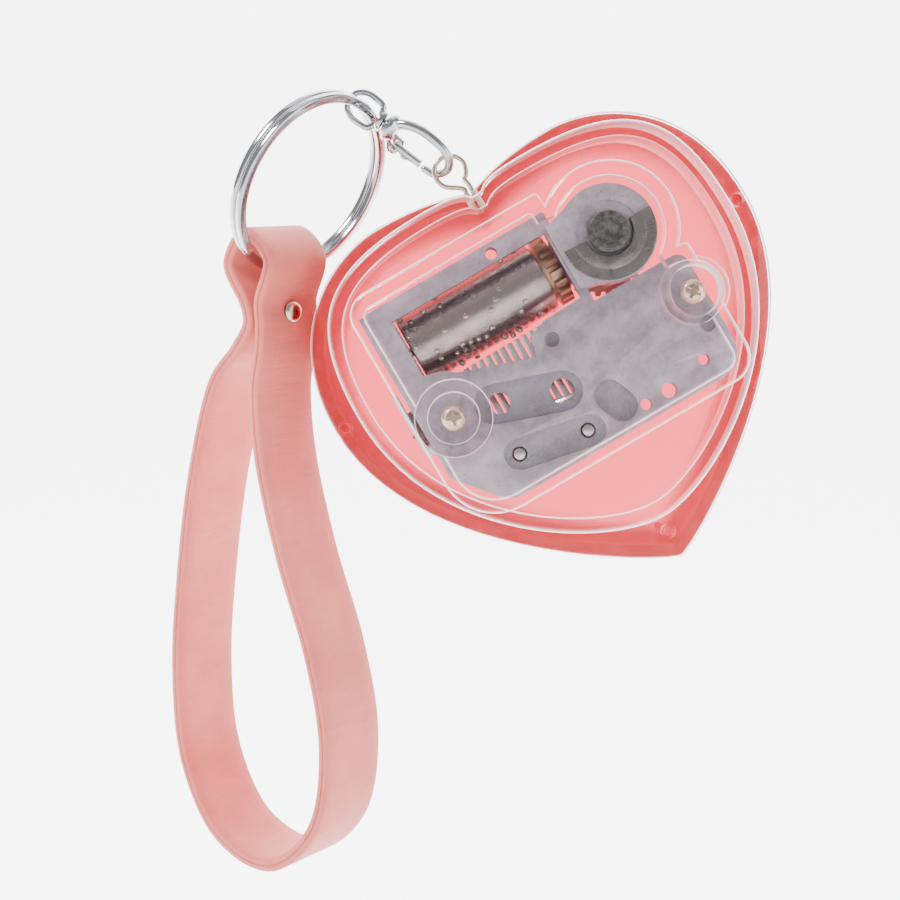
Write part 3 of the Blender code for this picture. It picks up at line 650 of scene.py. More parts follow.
def make_finishes() -> Finishes:
    """Builds every material.

    Returns:
        The finishes.
    """
    return Finishes(
        # Both plastics carry a painted glow, an emission in their edge colour.
        clear=ClearPlastic(
            "clear_plastic", tint=(0.98, 0.96, 0.965), edge=(0.95, 0.90, 0.905),
            deep=(0.90, 0.24, 0.26), veil=0.012, rim=0.95, onset=0.4, soft=0.36,
            waviness=0.004, glow=0.6).make(),
        red=ClearPlastic(
            "red_plastic", tint=(0.74, 0.23, 0.26), edge=(0.82, 0.02, 0.05),
            deep=(0.72, 0.012, 0.035), veil=0.015, rim=0.93, onset=0.43, soft=0.27,
            waviness=0.01, glow=0.3, coat=0.03, gloss=0.08).make(),
        zinc=CastZinc("cast_zinc").make(),
        nickel=Metal("satin_nickel", (0.44, 0.40, 0.37), (0.20, 0.17, 0.155), 0.22,
                     grain=(0.25, 6, 6), grain_scale=2.0, grain_depth=0.002,
                     patchiness=0.35, pitting=0.2).make(),
        warm_nickel=Metal("pale_gold", (0.70, 0.58, 0.43), (0.42, 0.33, 0.24), 0.22).make(),
        steel=Metal("bright_steel", (0.62, 0.61, 0.60), (0.36, 0.35, 0.35), 0.26).make(),
        spring_steel=Metal("spring_steel", (0.35, 0.36, 0.40), (0.2, 0.2, 0.23), 0.3).make(),
        arbor=TurnedMetal("faced_arbor", (0.20, 0.205, 0.19), (0.06, 0.065, 0.055)).make(),
        clip=Metal("rubbed_clip", (0.36, 0.34, 0.32), (0.12, 0.11, 0.10), 0.2,
                   grain=(0.3, 3, 3), grain_scale=1.2, grain_depth=0.002,
                   pitting=0.12).make(),
        pins=Metal("bright_pins", (0.86, 0.84, 0.82), (0.5, 0.47, 0.45), 0.18).make(),
        comb=Metal("ground_comb", (0.86, 0.86, 0.88), (0.5, 0.5, 0.53), 0.24,
                   grain=(3, 3, 0.3), grain_scale=2.0).make(),
        screw=Metal("yellow_zinc_plate", (0.78, 0.58, 0.44), (0.5, 0.33, 0.23), 0.2).make(),
        copper=Metal("bronze_gear", (0.46, 0.28, 0.18), (0.26, 0.15, 0.09), 0.32).make(),
        chrome=Metal("chrome_plate", (0.52, 0.53, 0.55), (0.22, 0.23, 0.25), 0.09,
                     grain_depth=0.001, patchiness=0.25).make(),
        cream=MouldedPlastic("cream_gear", (0.80, 0.76, 0.66), (0.70, 0.64, 0.53)).make(),
        brown=MouldedPlastic("brown_fly", (0.16, 0.09, 0.06), (0.10, 0.06, 0.04)).make(),
        leather_outer=Leather("leather_grain", (0.84, 0.205, 0.172), (0.74, 0.155, 0.13)).make(),
        leather_inner=Leather("leather_lining", (0.66, 0.140, 0.115), (0.54, 0.10, 0.082),
                              wrinkle=0.09).make(),
        edge_outer=LeatherEdge("edge_outer_ply", (0.80, 0.62, 0.50), (0.62, 0.42, 0.34)).make(),
        edge_inner=LeatherEdge("edge_inner_ply", (0.90, 0.60, 0.46), (0.74, 0.42, 0.33)).make(),
        seam=LeatherEdge("edge_seam", (0.42, 0.26, 0.22), (0.18, 0.11, 0.10)).make())


# ------------------------------------------------------------------ outlines
def circle(radius: float, centre: Point2 = (0.0, 0.0), sides: int = 64) -> list[Point2]:
    """A circle's points."""
    return [(centre[0] + radius * math.cos(2 * math.pi * i / sides),
             centre[1] + radius * math.sin(2 * math.pi * i / sides)) for i in range(sides)]


def rounded(corners: Sequence[tuple[float, float, float]], steps: int = 10) -> list[Point2]:
    """An outline from (x, z, radius) corners, each corner turned into an arc.

    Args:
        corners: the corners, in order.
        steps: the arc's steps.

    Returns:
        The outline.
    """
    outline: list[Point2] = []
    for i, (x, z, radius) in enumerate(corners):
        here = Vector((x, z))
        back = (Vector(corners[i - 1][:2]) - here).normalized()
        ahead = (Vector(corners[(i + 1) % len(corners)][:2]) - here).normalized()
        half = back.angle(ahead) / 2
        centre = here + (back + ahead).normalized() * radius / math.sin(half)
        first = here + back * radius / math.tan(half) - centre
        last = here + ahead * radius / math.tan(half) - centre
        for step in range(steps + 1):
            spoke = first.lerp(last, step / steps).normalized() * radius
            outline.append((centre.x + spoke.x, centre.y + spoke.y))
    return outline


def shrunk(outline: Sequence[Point2], amount: float) -> list[Point2]:
    """An outline moved inwards, corner by corner.

    Args:
        outline: the outline, either way round.
        amount: the distance, outwards if below zero.

    Returns:
        The moved outline.
    """
    points = [Vector(point) for point in outline]
    count = len(points)
    area = sum(points[i - 1].x * points[i].y - points[i].x * points[i - 1].y
               for i in range(count))
    inward = 1 if area > 0 else -1
    moved = []
    for i, here in enumerate(points):
        before = (here - points[i - 1]).normalized()
        after = (points[(i + 1) % count] - here).normalized()
        first = Vector((-before.y, before.x)) * inward
        second = Vector((-after.y, after.x)) * inward
        offset = (first + second) / max(0.4, 1 + first.dot(second))
        moved.append((here.x + offset.x * amount, here.y + offset.y * amount))
    return moved


def smooth_path(points: Sequence[Sequence[float]], steps: int,
                closed: bool = False) -> list[Vector]:
    """Catmull-Rom points through a list of points.

    Args:
        points: the points that the path goes through.
        steps: how many points each stretch gets.
        closed: go back to the first point.

    Returns:
        The path.
    """
    given = [Vector(point) for point in points]
    if closed:
        given = [given[-1]] + given + given[:2]
    else:
        given = [2 * given[0] - given[1]] + given + [2 * given[-1] - given[-2]]
    path = []
    for a, b, c, d in zip(given, given[1:], given[2:], given[3:]):
        for step in range(steps):
            t = step / steps
            path.append(0.5 * (2 * b + (c - a) * t + (2 * a - 5 * b + 4 * c - d) * t ** 2
                               + (3 * b - a - 3 * c + d) * t ** 3))
    return path if closed else path + [given[-2]]


@dataclass(frozen=True)
class Heart:
    """A symmetric heart outline, from its tip to its notch."""

    half_width: float
    widest: float
    top: float
    lobe: float
    notch: float
    tip: float
    tip_round: float
    flank: float
    shoulder: float
    crown_out: float
    crown_in: float
    notch_round: float

    def inset(self, wall: float) -> "Heart":
        """The same heart with its wall moved inwards."""
        ratio = (self.half_width - wall) / self.half_width
        return Heart(self.half_width - wall, self.widest, self.top - wall, self.lobe * ratio,
                     self.notch - wall, self.tip + 1.2 * wall, self.tip_round * ratio,
                     self.flank * ratio, self.shoulder * ratio, self.crown_out * ratio,
                     self.crown_in * ratio, self.notch_round * ratio)

    def outline(self, steps: int = 27) -> list[Point2]:
        """Points round the heart, starting at the tip and going up the right side.

        Args:
            steps: the points on each of its curves.

        Returns:
            The outline.
        """
        tip = Vector((0, self.tip))
        side = Vector((self.half_width, self.widest))
        crown = Vector((self.lobe, self.top))
        notch = Vector((0, self.notch))
        curves = (
            (tip, tip + Vector((self.tip_round, 0)), side - Vector((0, self.flank)), side),
            (side, side + Vector((0, self.shoulder)), crown + Vector((self.crown_out, 0)),
             crown),
            (crown, crown - Vector((self.crown_in, 0)), notch + Vector((self.notch_round, 0)),
             notch))
        half = [p for curve in curves for p in interpolate_bezier(*curve, steps)[:-1]]
        right = [(p.x, p.y) for p in half] + [(0.0, self.notch)]
        return right + [(-x, z) for x, z in right[-2:0:-1]]

    def at(self, y: float) -> list[Vector]:
        """The outline as a ring of points at a depth."""
        return [Vector((x, y, z)) for x, z in self.outline()]


RIM = Heart(38.6, 8.9, 34.2, 16.5, 31.6, -36.9, 2.2, 25.8, 20.0, 6.6, 11.6, 1.4)
DRUM = Heart(34.1, 8.4, 31.7, 9.3, 29.9, -29.1, 10.2, 23.0, 17.3, 18.5, 9.5, 2.3)


# ------------------------------------------------------------------ the bench
def show(name: str, data: bpy.types.ID) -> bpy.types.Object:
    """Puts a mesh, a lamp or a camera into the scene.

    Args:
        name: the object's name.
        data: what the object shows.

    Returns:
        The object.
    """
    thing = bpy.data.objects.new(name, data)
    bpy.context.scene.collection.objects.link(thing)
    return thing


def skin(bm: bmesh.types.BMesh, near: Sequence[bmesh.types.BMVert],
         far: Sequence[bmesh.types.BMVert]) -> list[bmesh.types.BMFace]:
    """Faces all round between two rings, where a ring of one point is a tip.

    Args:
        bm: the mesh.
        near: the first ring.
        far: the second ring.

    Returns:
        The faces.
    """
    faces = []
    for i in range(max(len(near), len(far))):
        j = i + 1
        corners = (near[i % len(near)], near[j % len(near)],
                   far[j % len(far)], far[i % len(far)])
        faces.append(bm.faces.new(list(dict.fromkeys(corners))))
    return faces


class Bench:
    """Makes meshes in one frame, in millimetres, and joins or cuts them."""

    def __init__(self, place: Matrix) -> None:
        """Sets the bench up in a frame."""
        self.place = place

    def put(self, name: str, bm: bmesh.types.BMesh, closed: bool = True) -> bpy.types.Object:
        """Turns a bmesh into an object at the bench's place.

        Args:
            name: the object's name.
            bm: the mesh, which is used up.
            closed: the mesh is a solid, so its faces can be turned outwards.

        Returns:
            The object.
        """
        if closed:
            bmesh.ops.recalc_face_normals(bm, faces=bm.faces)
        mesh = bpy.data.meshes.new(name)
        bm.to_mesh(mesh)
        bm.free()
        piece = show(name, mesh)
        piece.matrix_world = self.place
        return piece

    def loft(self, name: str, rings: Sequence[Sequence[Sequence[float]]],
             loop: bool = False) -> bpy.types.Object:
        """A closed skin through rings of points that all have the same count.

        Args:
            name: the piece's name.
            rings: the rings, in order.
            loop: join the last ring to the first one, with no caps.

        Returns:
            The object.
        """
        bm = bmesh.new()
        loops = [[bm.verts.new(Vector(p) * MM) for p in ring] for ring in rings]
        pairs = list(zip(loops, loops[1:]))
        if loop:
            pairs.append((loops[-1], loops[0]))
        else:
            bm.faces.new(loops[0])
            bm.faces.new(loops[-1])
        for near, far in pairs:
            skin(bm, near, far)
        return self.put(name, bm)

    def prism(self, name: str, outline: Sequence[Point2],
              levels: Sequence[Level]) -> bpy.types.Object:
        """An (x, z) outline carried through (y, inset) levels.

        Args:
            name: the piece's name.
            outline: the outline.
            levels: (y, inset) pairs, in order.

        Returns:
            The object.
        """
        return self.loft(name, [[(x, y, z) for x, z in shrunk(outline, inset)]
                                for y, inset in levels])

    def plate(self, name: str, outline: Sequence[Point2],
              levels: Sequence[Level]) -> bpy.types.Object:
        """An (x, y) outline carried through (z, inset) levels.

        Args:
            name: the piece's name.
            outline: the outline.
            levels: (z, inset) pairs, in order.

        Returns:
            The object.
        """
        return self.loft(name, [[(x, y, z) for x, y in shrunk(outline, inset)]
                                for z, inset in levels])

    def turned(self, name: str, profile: Sequence[Point2], sides: int = 64,
               place: Matrix | None = None) -> bpy.types.Object:
        """A (radius, height) profile turned about the frame's z axis.

        A profile that starts and ends off the axis is closed on itself.

        Args:
            name: the piece's name.
            profile: (radius, height) points, in order.
            sides: its number of sides.
            place: moves it from the frame's own axis.

        Returns:
            The object.
        """
        bm = bmesh.new()
        rings: list[list[bmesh.types.BMVert]] = []
        for radius, height in profile:
            if radius < 1e-6:
                rings.append([bm.verts.new((0, 0, height * MM))])
                continue
            rings.append([bm.verts.new((x, y, height * MM))
                          for x, y in circle(radius * MM, sides=sides)])
        pairs = list(zip(rings, rings[1:]))
        if len(rings[0]) > 1 and len(rings[-1]) > 1:
            pairs.append((rings[-1], rings[0]))
        for near, far in pairs:
            skin(bm, near, far)
        if place is not None:
            bmesh.ops.transform(bm, matrix=place, verts=bm.verts)
        return self.put(name, bm)

    def bar(self, name: str, radius: float, start: Sequence[float], end: Sequence[float],
            sides: int = 32, rim: float = 0.0) -> bpy.types.Object:
        """A round bar between two points, with rounded rims.

        Args:
            name: the piece's name.
            radius: its radius.
            start: one end.
            end: the other end.
            sides: its number of sides.
            rim: how much its rims are rounded.

        Returns:
            The object.
        """
        first, last = Vector(start), Vector(end)
        length = (last - first).length
        turn = (last - first).to_track_quat("Z", "Y").to_matrix().to_4x4()
        profile = [(0, 0), (radius - rim, 0)]
        if rim > 0:
            profile += [(radius - 0.3 * rim, 0.3 * rim), (radius, rim), (radius, length - rim),
                        (radius - 0.3 * rim, length - 0.3 * rim)]
        profile += [(radius - rim, length), (0, length)]
        return self.turned(name, profile, sides, Matrix.Translation(first * MM) @ turn)

    def block(self, name: str, low: Sequence[float],
              high: Sequence[float]) -> bpy.types.Object:
        """A box between two corners, for joining or cutting.

        Args:
            name: the piece's name.
            low: the corner with the least coordinates.
            high: the opposite corner.

        Returns:
            The object.
        """
        near, far = Vector(low) * MM, Vector(high) * MM
        bm = bmesh.new()
        bmesh.ops.create_cube(bm, size=1, matrix=Matrix.Translation((near + far) / 2)
                              @ Matrix.Diagonal((*(far - near), 1)))
        return self.put(name, bm)

    def sweep(self, name: str, path: Sequence[Vector], section: Sequence[Point2],
              scales: Sequence[float] | None = None, closed: bool = False,
              upright: Vector | None = None) -> bpy.types.Object:
        """A section carried along a path.

        Args:
            name: the piece's name.
            path: points in millimetres.
            section: (side, up) points round the path.
            scales: the section's size at each point, 1 if left out.
            closed: join the end to the start.
            upright: a direction that stays the section's up.

        Returns:
            The object.
        """
        count = len(path)
        up = upright or Vector((0, 0, 1))
        rings = []
        for i, here in enumerate(path):
            before = path[i - 1] if i or closed else here
            after = path[(i + 1) % count] if i < count - 1 or closed else here
            ahead = (after - before).normalized()
            side = ahead.cross(up).normalized()
            if upright is None:
                up = side.cross(ahead).normalized()
            size = scales[i] if scales else 1.0
            rings.append([here + (side * s + side.cross(ahead) * u) * size
                          for s, u in section])
        return self.loft(name, rings, loop=closed)

    def wire(self, name: str, path: Sequence[Vector], radius: float, sides: int = 20,
             closed: bool = False, upright: Vector | None = None,
             taper: Sequence[float] | None = None) -> bpy.types.Object:
        """A round wire along a path, with domed ends.

        Args:
            name: the piece's name.
            path: points in millimetres.
            radius: the wire's radius.
            sides: its number of sides.
            closed: join the end to the start.
            upright: a direction that stays the section's up.
            taper: the wire's size at each point, 1 if left out.

        Returns:
            The object.
        """
        points = list(path)
        scales = list(taper) if taper else [1.0] * len(points)
        if not closed:
            first = (points[0] - points[1]).normalized()
            last = (points[-1] - points[-2]).normalized()
            start, end = scales[0], scales[-1]
            for out, size in ((0.5, 0.87), (0.85, 0.53), (0.98, 0.2)):
                points.insert(0, path[0] + first * radius * out * start)
                scales.insert(0, size * start)
                points.append(path[-1] + last * radius * out * end)
                scales.append(size * end)
        return self.sweep(name, points, circle(radius, sides=sides), scales, closed, upright)


def combine(target: bpy.types.Object, operation: str,
            tools: Iterable[bpy.types.Object]) -> bpy.types.Object:
    """Joins tools to a target or cuts them from it, for good.

    Args:
        target: the piece that stays.
        operation: UNION or DIFFERENCE.
        tools: the solids used up by it.

    Returns:
        The target.
    """
    used = list(tools)
    for tool in used:
        change = target.modifiers.new("tool", "BOOLEAN")
        change.operation = operation
        change.object = tool
    bake(target)
    for tool in used:
        bpy.data.objects.remove(tool, do_unlink=True)
    return target


def cut(target: bpy.types.Object, *tools: bpy.types.Object) -> bpy.types.Object:
    """Cuts tools from a target."""
    return combine(target, "DIFFERENCE", tools)


def join(target: bpy.types.Object, *tools: bpy.types.Object) -> bpy.types.Object:
    """Joins tools to a target."""
    return combine(target, "UNION", tools)


def bake(piece: bpy.types.Object) -> None:
    """Applies a piece's modifiers to its mesh.

    Args:
        piece: the object.
    """
    bpy.context.view_layer.update()
    evaluated = piece.evaluated_get(bpy.context.evaluated_depsgraph_get())
    mesh = bpy.data.meshes.new_from_object(evaluated)
    piece.modifiers.clear()
    piece.data = mesh


def round_edges(piece: bpy.types.Object, width: float,
                angle: float) -> bpy.types.Modifier:
    """Puts a bevel on a piece's sharp edges.

    Args:
        piece: the object.
        width: the bevel's width in millimetres.
        angle: the least sharp edge that is rounded, in degrees.

    Returns:
        The bevel.
    """
    bevel = piece.modifiers.new("soften", "BEVEL")
    bevel.width = width * MM
    bevel.segments = 2
    bevel.limit_method = "ANGLE"
    bevel.angle_limit = math.radians(angle)
    return bevel


def soften(piece: bpy.types.Object, width: float, angle: float) -> None:
    """Rounds a piece's sharp edges; width is in millimetres.

    Args:
        piece: the object.
        width: the bevel's width in millimetres.
        angle: the least sharp edge that is rounded, in degrees.
    """
    bm = bmesh.new()
    bm.from_mesh(piece.data)
    bmesh.ops.remove_doubles(bm, verts=bm.verts, dist=SAME_POINT)
    bmesh.ops.dissolve_limit(bm, angle_limit=math.radians(1.0), verts=bm.verts,
                             edges=bm.edges)
    bm.to_mesh(piece.data)
    bm.free()
    round_edges(piece, width, angle)
    bake(piece)


def shade(piece: bpy.types.Object, angle: float = 32.0) -> None:
    """Smooth shading up to an angle."""
    piece.data.shade_smooth()
    piece.data.set_sharp_from_angle(angle=math.radians(angle))


def dress(piece: bpy.types.Object, finish: bpy.types.Material, slot: str, body: Body,
          *nodes: str, angle: float = 32.0) -> bpy.types.Object:
    """Gives a piece its finish and its body.

    Args:
        piece: the object.
        finish: its material.
        slot: not used.
        body: the body it rides on.
        nodes: the solids that it stands for.
        angle: the sharpest edge that is shaded smooth, in degrees.

    Returns:
        The piece.
    """
    piece.data.transform(piece.matrix_world)
    piece.matrix_world = Matrix()
    piece.data.materials.clear()
    piece.data.materials.append(finish)
    shade(piece, angle)
    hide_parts(*nodes)
    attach(piece, body.value)
    log.info("built %s for %s", piece.name, ", ".join(nodes))
    return piece


def keep(node: str, finish: bpy.types.Material, width: float = 0.12) -> None:
    """Softens a carried-over solid's edges with modifiers and gives it a finish.

    Args:
        node: the solid's name.
        finish: its material.
        width: the bevel's width in millimetres.
    """
    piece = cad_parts[node]
    weld = piece.modifiers.new("weld", "WELD")
    weld.merge_threshold = SAME_POINT
    round_edges(piece, width, KEPT_EDGE).harden_normals = True
    piece.data.materials.clear()
    piece.data.materials.append(finish)
    shade(piece, KEPT_EDGE)
    log.info("dressed %s", node)


# ------------------------------------------------------------------ case
@dataclass
class Case:
    """The clear front shell, the red back shell and the two screws in their wells."""

    wall: float = 2.0
    drum_front: float = -10.0
    cover_front: float = -13.0
    flange_front: float = -2.2
    bulge: float = 11.0
    well_radii: Point2 = (6.3, 5.3)
    back: float = 17.0

    def cover_outline(self, inset: float) -> list[Point2]:
        """The stepped cover's outline, moved inwards by inset.

        Args:
            inset: the distance.

        Returns:
            The outline.
        """
        left, right = -27.5 + inset, 24.5 - inset
        low, high = -16.3 + inset, 25.1 - inset
        step_x, step_z = 8.0 - inset, 6.7 - inset
        small = 0.9
        return rounded([
            (left, high, max(small, 4.0 - inset)), (left, low, max(small, 9.0 - inset)),
            (right, low, max(small, 4.5 - inset)), (right, step_z, small),
            (step_x, step_z, small + inset), (step_x, high, small)])

    def cover(self, bench: Bench, tag: str, inset: float, front: float,
              back: float) -> list[bpy.types.Object]:
        """The cover and its round bulge, moved inwards by inset.

        Args:
            bench: the bench that the pieces are made on.
            tag: the end of the pieces' names.
            inset: the distance.
            front: the y of the front face.
            back: the y where they end.

        Returns:
            The cover and the bulge.
        """
        levels = [(back, 0.0), (front + 1.0, 0.0), (front + 0.45, 0.12),
                  (front + 0.15, 0.38), (front, 0.8)]
        return [bench.prism("cover_" + tag, self.cover_outline(inset), levels),
                bench.prism("bulge_" + tag, circle(self.bulge - inset, ARBOR, 96), levels)]

    @staticmethod
    def eye_hole(bench: Bench) -> bpy.types.Object:
        """The tool that leaves room for the eye's shanks in both shells."""
        return bench.bar("eye_hole", 1.25, (0, 0, 26), (0, 0, 36), 24)

    def build_front(self, bench: Bench, finish: bpy.types.Material) -> None:
        """The front shell: a flange, a heart-shaped drum, the cover and the screw wells.

        Args:
            bench: the bench that the pieces are made on.
            finish: the clear plastic.
        """
        flange, front = self.flange_front, self.drum_front
        shell = bench.loft("front_case", [RIM.inset(inset).at(y) for y, inset in (
            (-0.15, 0.25), (-0.4, 0), (flange + 0.5, 0), (flange + 0.15, 0.15),
            (flange, 0.5))])
        join(shell, bench.loft("drum", [DRUM.inset(inset).at(y) for y, inset in (
            (-0.3, 0), (front + 1.2, 0), (front + 0.75, 0.1), (front + 0.35, 0.35),
            (front + 0.1, 0.75), (front, 1.2))]))
        inner = self.wall
        cavity = bench.loft("cavity", [DRUM.inset(inner + inset).at(y) for y, inset in (
            (1, 0), (front + inner + 0.9, 0), (front + inner + 0.3, 0.25),
            (front + inner, 0.9))])
        wells, mouths = [], []
        for i, ((x, z), radius) in enumerate(zip(CASE_SCREWS, self.well_radii)):
            place = Matrix.Translation((x * MM, 0, z * MM)) @ TO_BACK
            top = self.cover_front + 0.35 + 0.1 * i
            wells.append(bench.turned(f"well_{i}", [
                (0, top), (radius - 0.4, top), (radius - 0.12, top + 0.12),
                (radius, top + 0.4), (radius, -6.7), (radius - 0.12, -6.42),
                (radius - 0.4, -6.3), (2.4, -6.3), (0, -6.3)], 64, place))
            mouths.append(bench.turned(f"mouth_{i}", [
                (0, -16), (4.2, -16), (4.2, -8.4), (4.08, -8.12), (3.8, -8.0), (1.35, -8.0),
                (1.35, -5.0), (0, -5.0)], 60, place))
        pegs = [bench.bar(f"peg_hole_{i}", 1.15, (x, -4, z), (x, 1, z), 24)
                for i, (x, z) in enumerate(PEGS)]
        join(shell, *self.cover(bench, "outside", 0.0, self.cover_front, front + 1))
        cut(shell, cavity)
        cut(shell, *self.cover(bench, "inside", inner, self.cover_front + inner, front + 3),
            bench.block("passage_left", (0, -11.0, -3), (13, -7.02, 19)),
            bench.block("passage_top", (4, -10.99, 15), (8.6, -7.04, 20.7)),
            bench.block("passage_right", (8, -10.98, -4), (20, -7.03, 10)))
        join(shell, *wells)
        cut(shell, *mouths, *pegs, self.eye_hole(bench))
        dress(shell, finish, "clear_plastic", Body.CASE, "front_shell", angle=40)

    def build_back(self, bench: Bench, finish: bpy.types.Material) -> None:
        """The back shell: a deep cup with a rounded back, its pegs and its key hole.

        Args:
            bench: the bench that the pieces are made on.
            finish: the red plastic.
        """
        outside = ((0.15, 0.2), (0.35, 0.0), (4, 0.3), (8, 0.9), (10, 1.45), (11.5, 2.0),
                   (13, 2.8), (14.2, 3.6), (15.2, 4.7), (16, 5.8), (16.5, 6.8),
                   (16.8, 7.9), (16.95, 9.0), (self.back, 10.0))
        inside = ((15.0, 10.4), (14.9, 9.4), (14.6, 8.2), (14.2, 7.3), (13.6, 6.4),
                  (12.6, 5.4), (11.4, 4.6), (8, 3.1), (4, 2.4), (0.15, 2.0))
        shell = bench.loft("back_case", [RIM.inset(inset).at(y)
                                         for y, inset in inside + outside])
        posts = [bench.bar(f"peg_{i}", 0.85, (x, -1.9, z), (x, 3.0 if i < 2 else 12.6, z), 24,
                           0.2)
                 for i, (x, z) in enumerate(PEGS)]
        join(shell, *posts)
        x, z = ARBOR
        cut(shell, bench.bar("key_hole", 2.6, (x, 12, z), (x, 19, z), 48),
            self.eye_hole(bench))
        dress(shell, finish, "red_plastic", Body.CASE, "back_shell", angle=40)

    def build_screws(self, finish: bpy.types.Material) -> None:
        """Pan-head cross screws, turned a little differently in each well.

        Args:
            finish: the screws' plating.
        """
        for i, (x, z) in enumerate(CASE_SCREWS):
            bench = Bench(on_case(x, z, -8.3))
            screw = bench.turned(f"case_screw_head_{i + 1}", [
                (0, -1.28), (0.8, -1.26), (1.4, -1.1), (1.8, -0.8), (2.0, -0.45), (2.05, -0.1),
                (1.95, 0), (1.05, 0), (1.0, 0.2), (1.0, 5.7), (0.7, 6.1), (0, 6.1)], 48)
            turn = Matrix.Rotation(math.radians(20 + 35 * i), 4, "Z")
            slots = []
            for j in range(2):
                slot = bench.block(f"slot_{j}", (-1.25, -0.26, -2), (1.25, 0.26, -0.55 + j * 0.02))
                slot.matrix_world = (bench.place @ turn
                                     @ Matrix.Rotation(math.radians(90 * j), 4, "Z"))
                slots.append(slot)
            cut(screw, *slots, bench.bar("recess", 0.55, (0, 0, -2), (0, 0, -0.5), 16))
            dress(screw, finish, "screw_steel", Body.CASE, f"case_screw_{i + 1}")

    def build(self, finishes: Finishes) -> None:
        """Builds the whole case.

        Args:
            finishes: every finish.
        """
        bench = Bench(CASE)
        self.build_front(bench, finishes.clear)
        self.build_back(bench, finishes.red)
        self.build_screws(finishes.screw)


# ------------------------------------------------------------------ movement
@dataclass
class Movement:
    """The zinc frame, the pinned cylinder, the comb, the spring barrel and the governor."""

    cylinder_y: float = 2.0
    radius: float = 6.0
    left: float = -21.2
    right: float = 3.4
    tracks: int = 18
    pins: int = 4
    pin_radius: float = 0.5
    pin_height: float = 0.5

    def build_cylinder(self, finish: bpy.types.Material,
                       pin_finish: bpy.types.Material) -> None:
        """An open nickel tube with a scatter of round-topped pins.

        Args:
            finish: the tube's metal.
            pin_finish: the pins' metal.
        """
        axle = CASE @ Matrix.Translation((0, self.cylinder_y * MM, ARBOR[1] * MM))
        bench = Bench(axle @ TO_SIDE)
        r, low, high = self.radius, self.left, self.right
        profile = [(r - 0.7, low), (r - 0.25, low), (r - 0.05, low + 0.1), (r, low + 0.3)]
        steps = 24
        profile += [(r, low + 0.3 + (high - low - 0.6) * i / steps) for i in range(1, steps)]
        profile += [(r, high - 0.3), (r - 0.05, high - 0.1), (r - 0.25, high), (r - 0.7, high)]
        tube = bench.turned("tune_cylinder", profile, 96)
        tune = random.Random(11)
        pitch = (high - low) / self.tracks
        bm = bmesh.new()
        bm.from_mesh(tube.data)
        for track in range(self.tracks):
            for angle in tune.sample(range(0, 360, 15), self.pins):
                self.add_pin(bm, low + pitch * (track + 0.5), math.radians(angle + track * 4))
        bm.to_mesh(tube.data)
        bm.free()
        dress(tube, finish, "nickel", Body.TUNE, "cylinder")
        tube.data.materials.append(pin_finish)

    def add_pin(self, bm: bmesh.types.BMesh, along: float, angle: float) -> None:
        """One domed pin on the cylinder's skin.

        Args:
            bm: the cylinder's mesh.
            along: its place along the cylinder.
            angle: its place round the cylinder.
        """
        outward = Vector((math.cos(angle), math.sin(angle), 0))
        side = Vector((-outward.y, outward.x, 0))
        rings = []
        for share, rise in ((1.0, -0.4), (1.0, 0.5), (0.86, 0.84), (0.5, 1.0)):
            middle = (outward * (self.radius + rise * self.pin_height)
                      + Vector((0, 0, along)))
            offsets = [side * x + Vector((0, 0, z)) for x, z in circle(1.0, sides=14)]
            rings.append([bm.verts.new((middle + offset * self.pin_radius * share) * MM)
                          for offset in offsets])
        for near, far in zip(rings, rings[1:]):
            for face in skin(bm, near, far):
                face.material_index = 1
        bm.faces.new(rings[-1]).material_index = 1
        bm.faces.new(rings[0][::-1])

    def build_winding(self, finishes: Finishes) -> None:
        """The arbor with its faced head, the clip under it, and the butterfly key.

        Args:
            finishes: every finish.
        """
        bench = Bench(on_case(*ARBOR))
        dress(bench.turned("faced_arbor", [
            (0, -9.75), (0.35, -9.8), (0.6, -10.0), (0.85, -10.05), (1.6, -10.1),
            (1.75, -10.0), (2.0, -10.0), (2.1, -10.12), (2.8, -10.18), (3.1, -10.12),
            (3.3, -9.95), (3.35, -9.7), (3.35, -8.95), (3.2, -8.75), (1.6, -8.75),
            (1.6, 21.3), (1.4, 21.6), (0, 21.6)]), finishes.arbor, "dark_steel",
            Body.WINDING, "winding_arbor")
        flat = Bench(CASE @ Matrix.Translation((ARBOR[0] * MM, 0, ARBOR[1] * MM)))
        clip = flat.prism("c_clip", self.half_ring(3.75, 7.75), [
            (-8.6, 0.08), (-8.7, 0), (-9.0, 0), (-9.1, 0.12)])
        raised = flat.prism("c_clip_step", self.half_ring(3.85, 6.0), [
            (-8.8, 0), (-9.42, 0), (-9.58, 0.1), (-9.6, 0.2)])
        dress(join(clip, raised), finishes.clip, "dark_steel", Body.CASE, "arbor_clip")
        outline = rounded([(-9.5, 20.5, 2.0), (9.5, 20.5, 2.0), (9.5, 29.5, 4.0),
                           (0, 27.4, 6.0), (-9.5, 29.5, 4.0)])
        wings = bench.prism("butterfly_key", outline, [
            (-0.8, 0.35), (-0.7, 0.1), (-0.45, 0), (0.45, 0), (0.7, 0.1), (0.8, 0.35)])
        hub = bench.bar("key_hub", 3.1, (0, 0, 17.3), (0, 0, 23.5), 48, 0.4)
        join(wings, hub)
        cut(wings, bench.bar("key_bore", 1.9, (0, 0, 16), (0, 0, 22.0), 32),
            *[bench.bar(f"wing_hole_{i}", 1.9, (x, -3, 25.0), (x, 3, 25.0), 40)
              for i, x in enumerate((-5.6, 5.6))])
        soften(wings, 0.15, 50)
        dress(wings, finishes.nickel, "nickel", Body.WINDING, "winding_key")

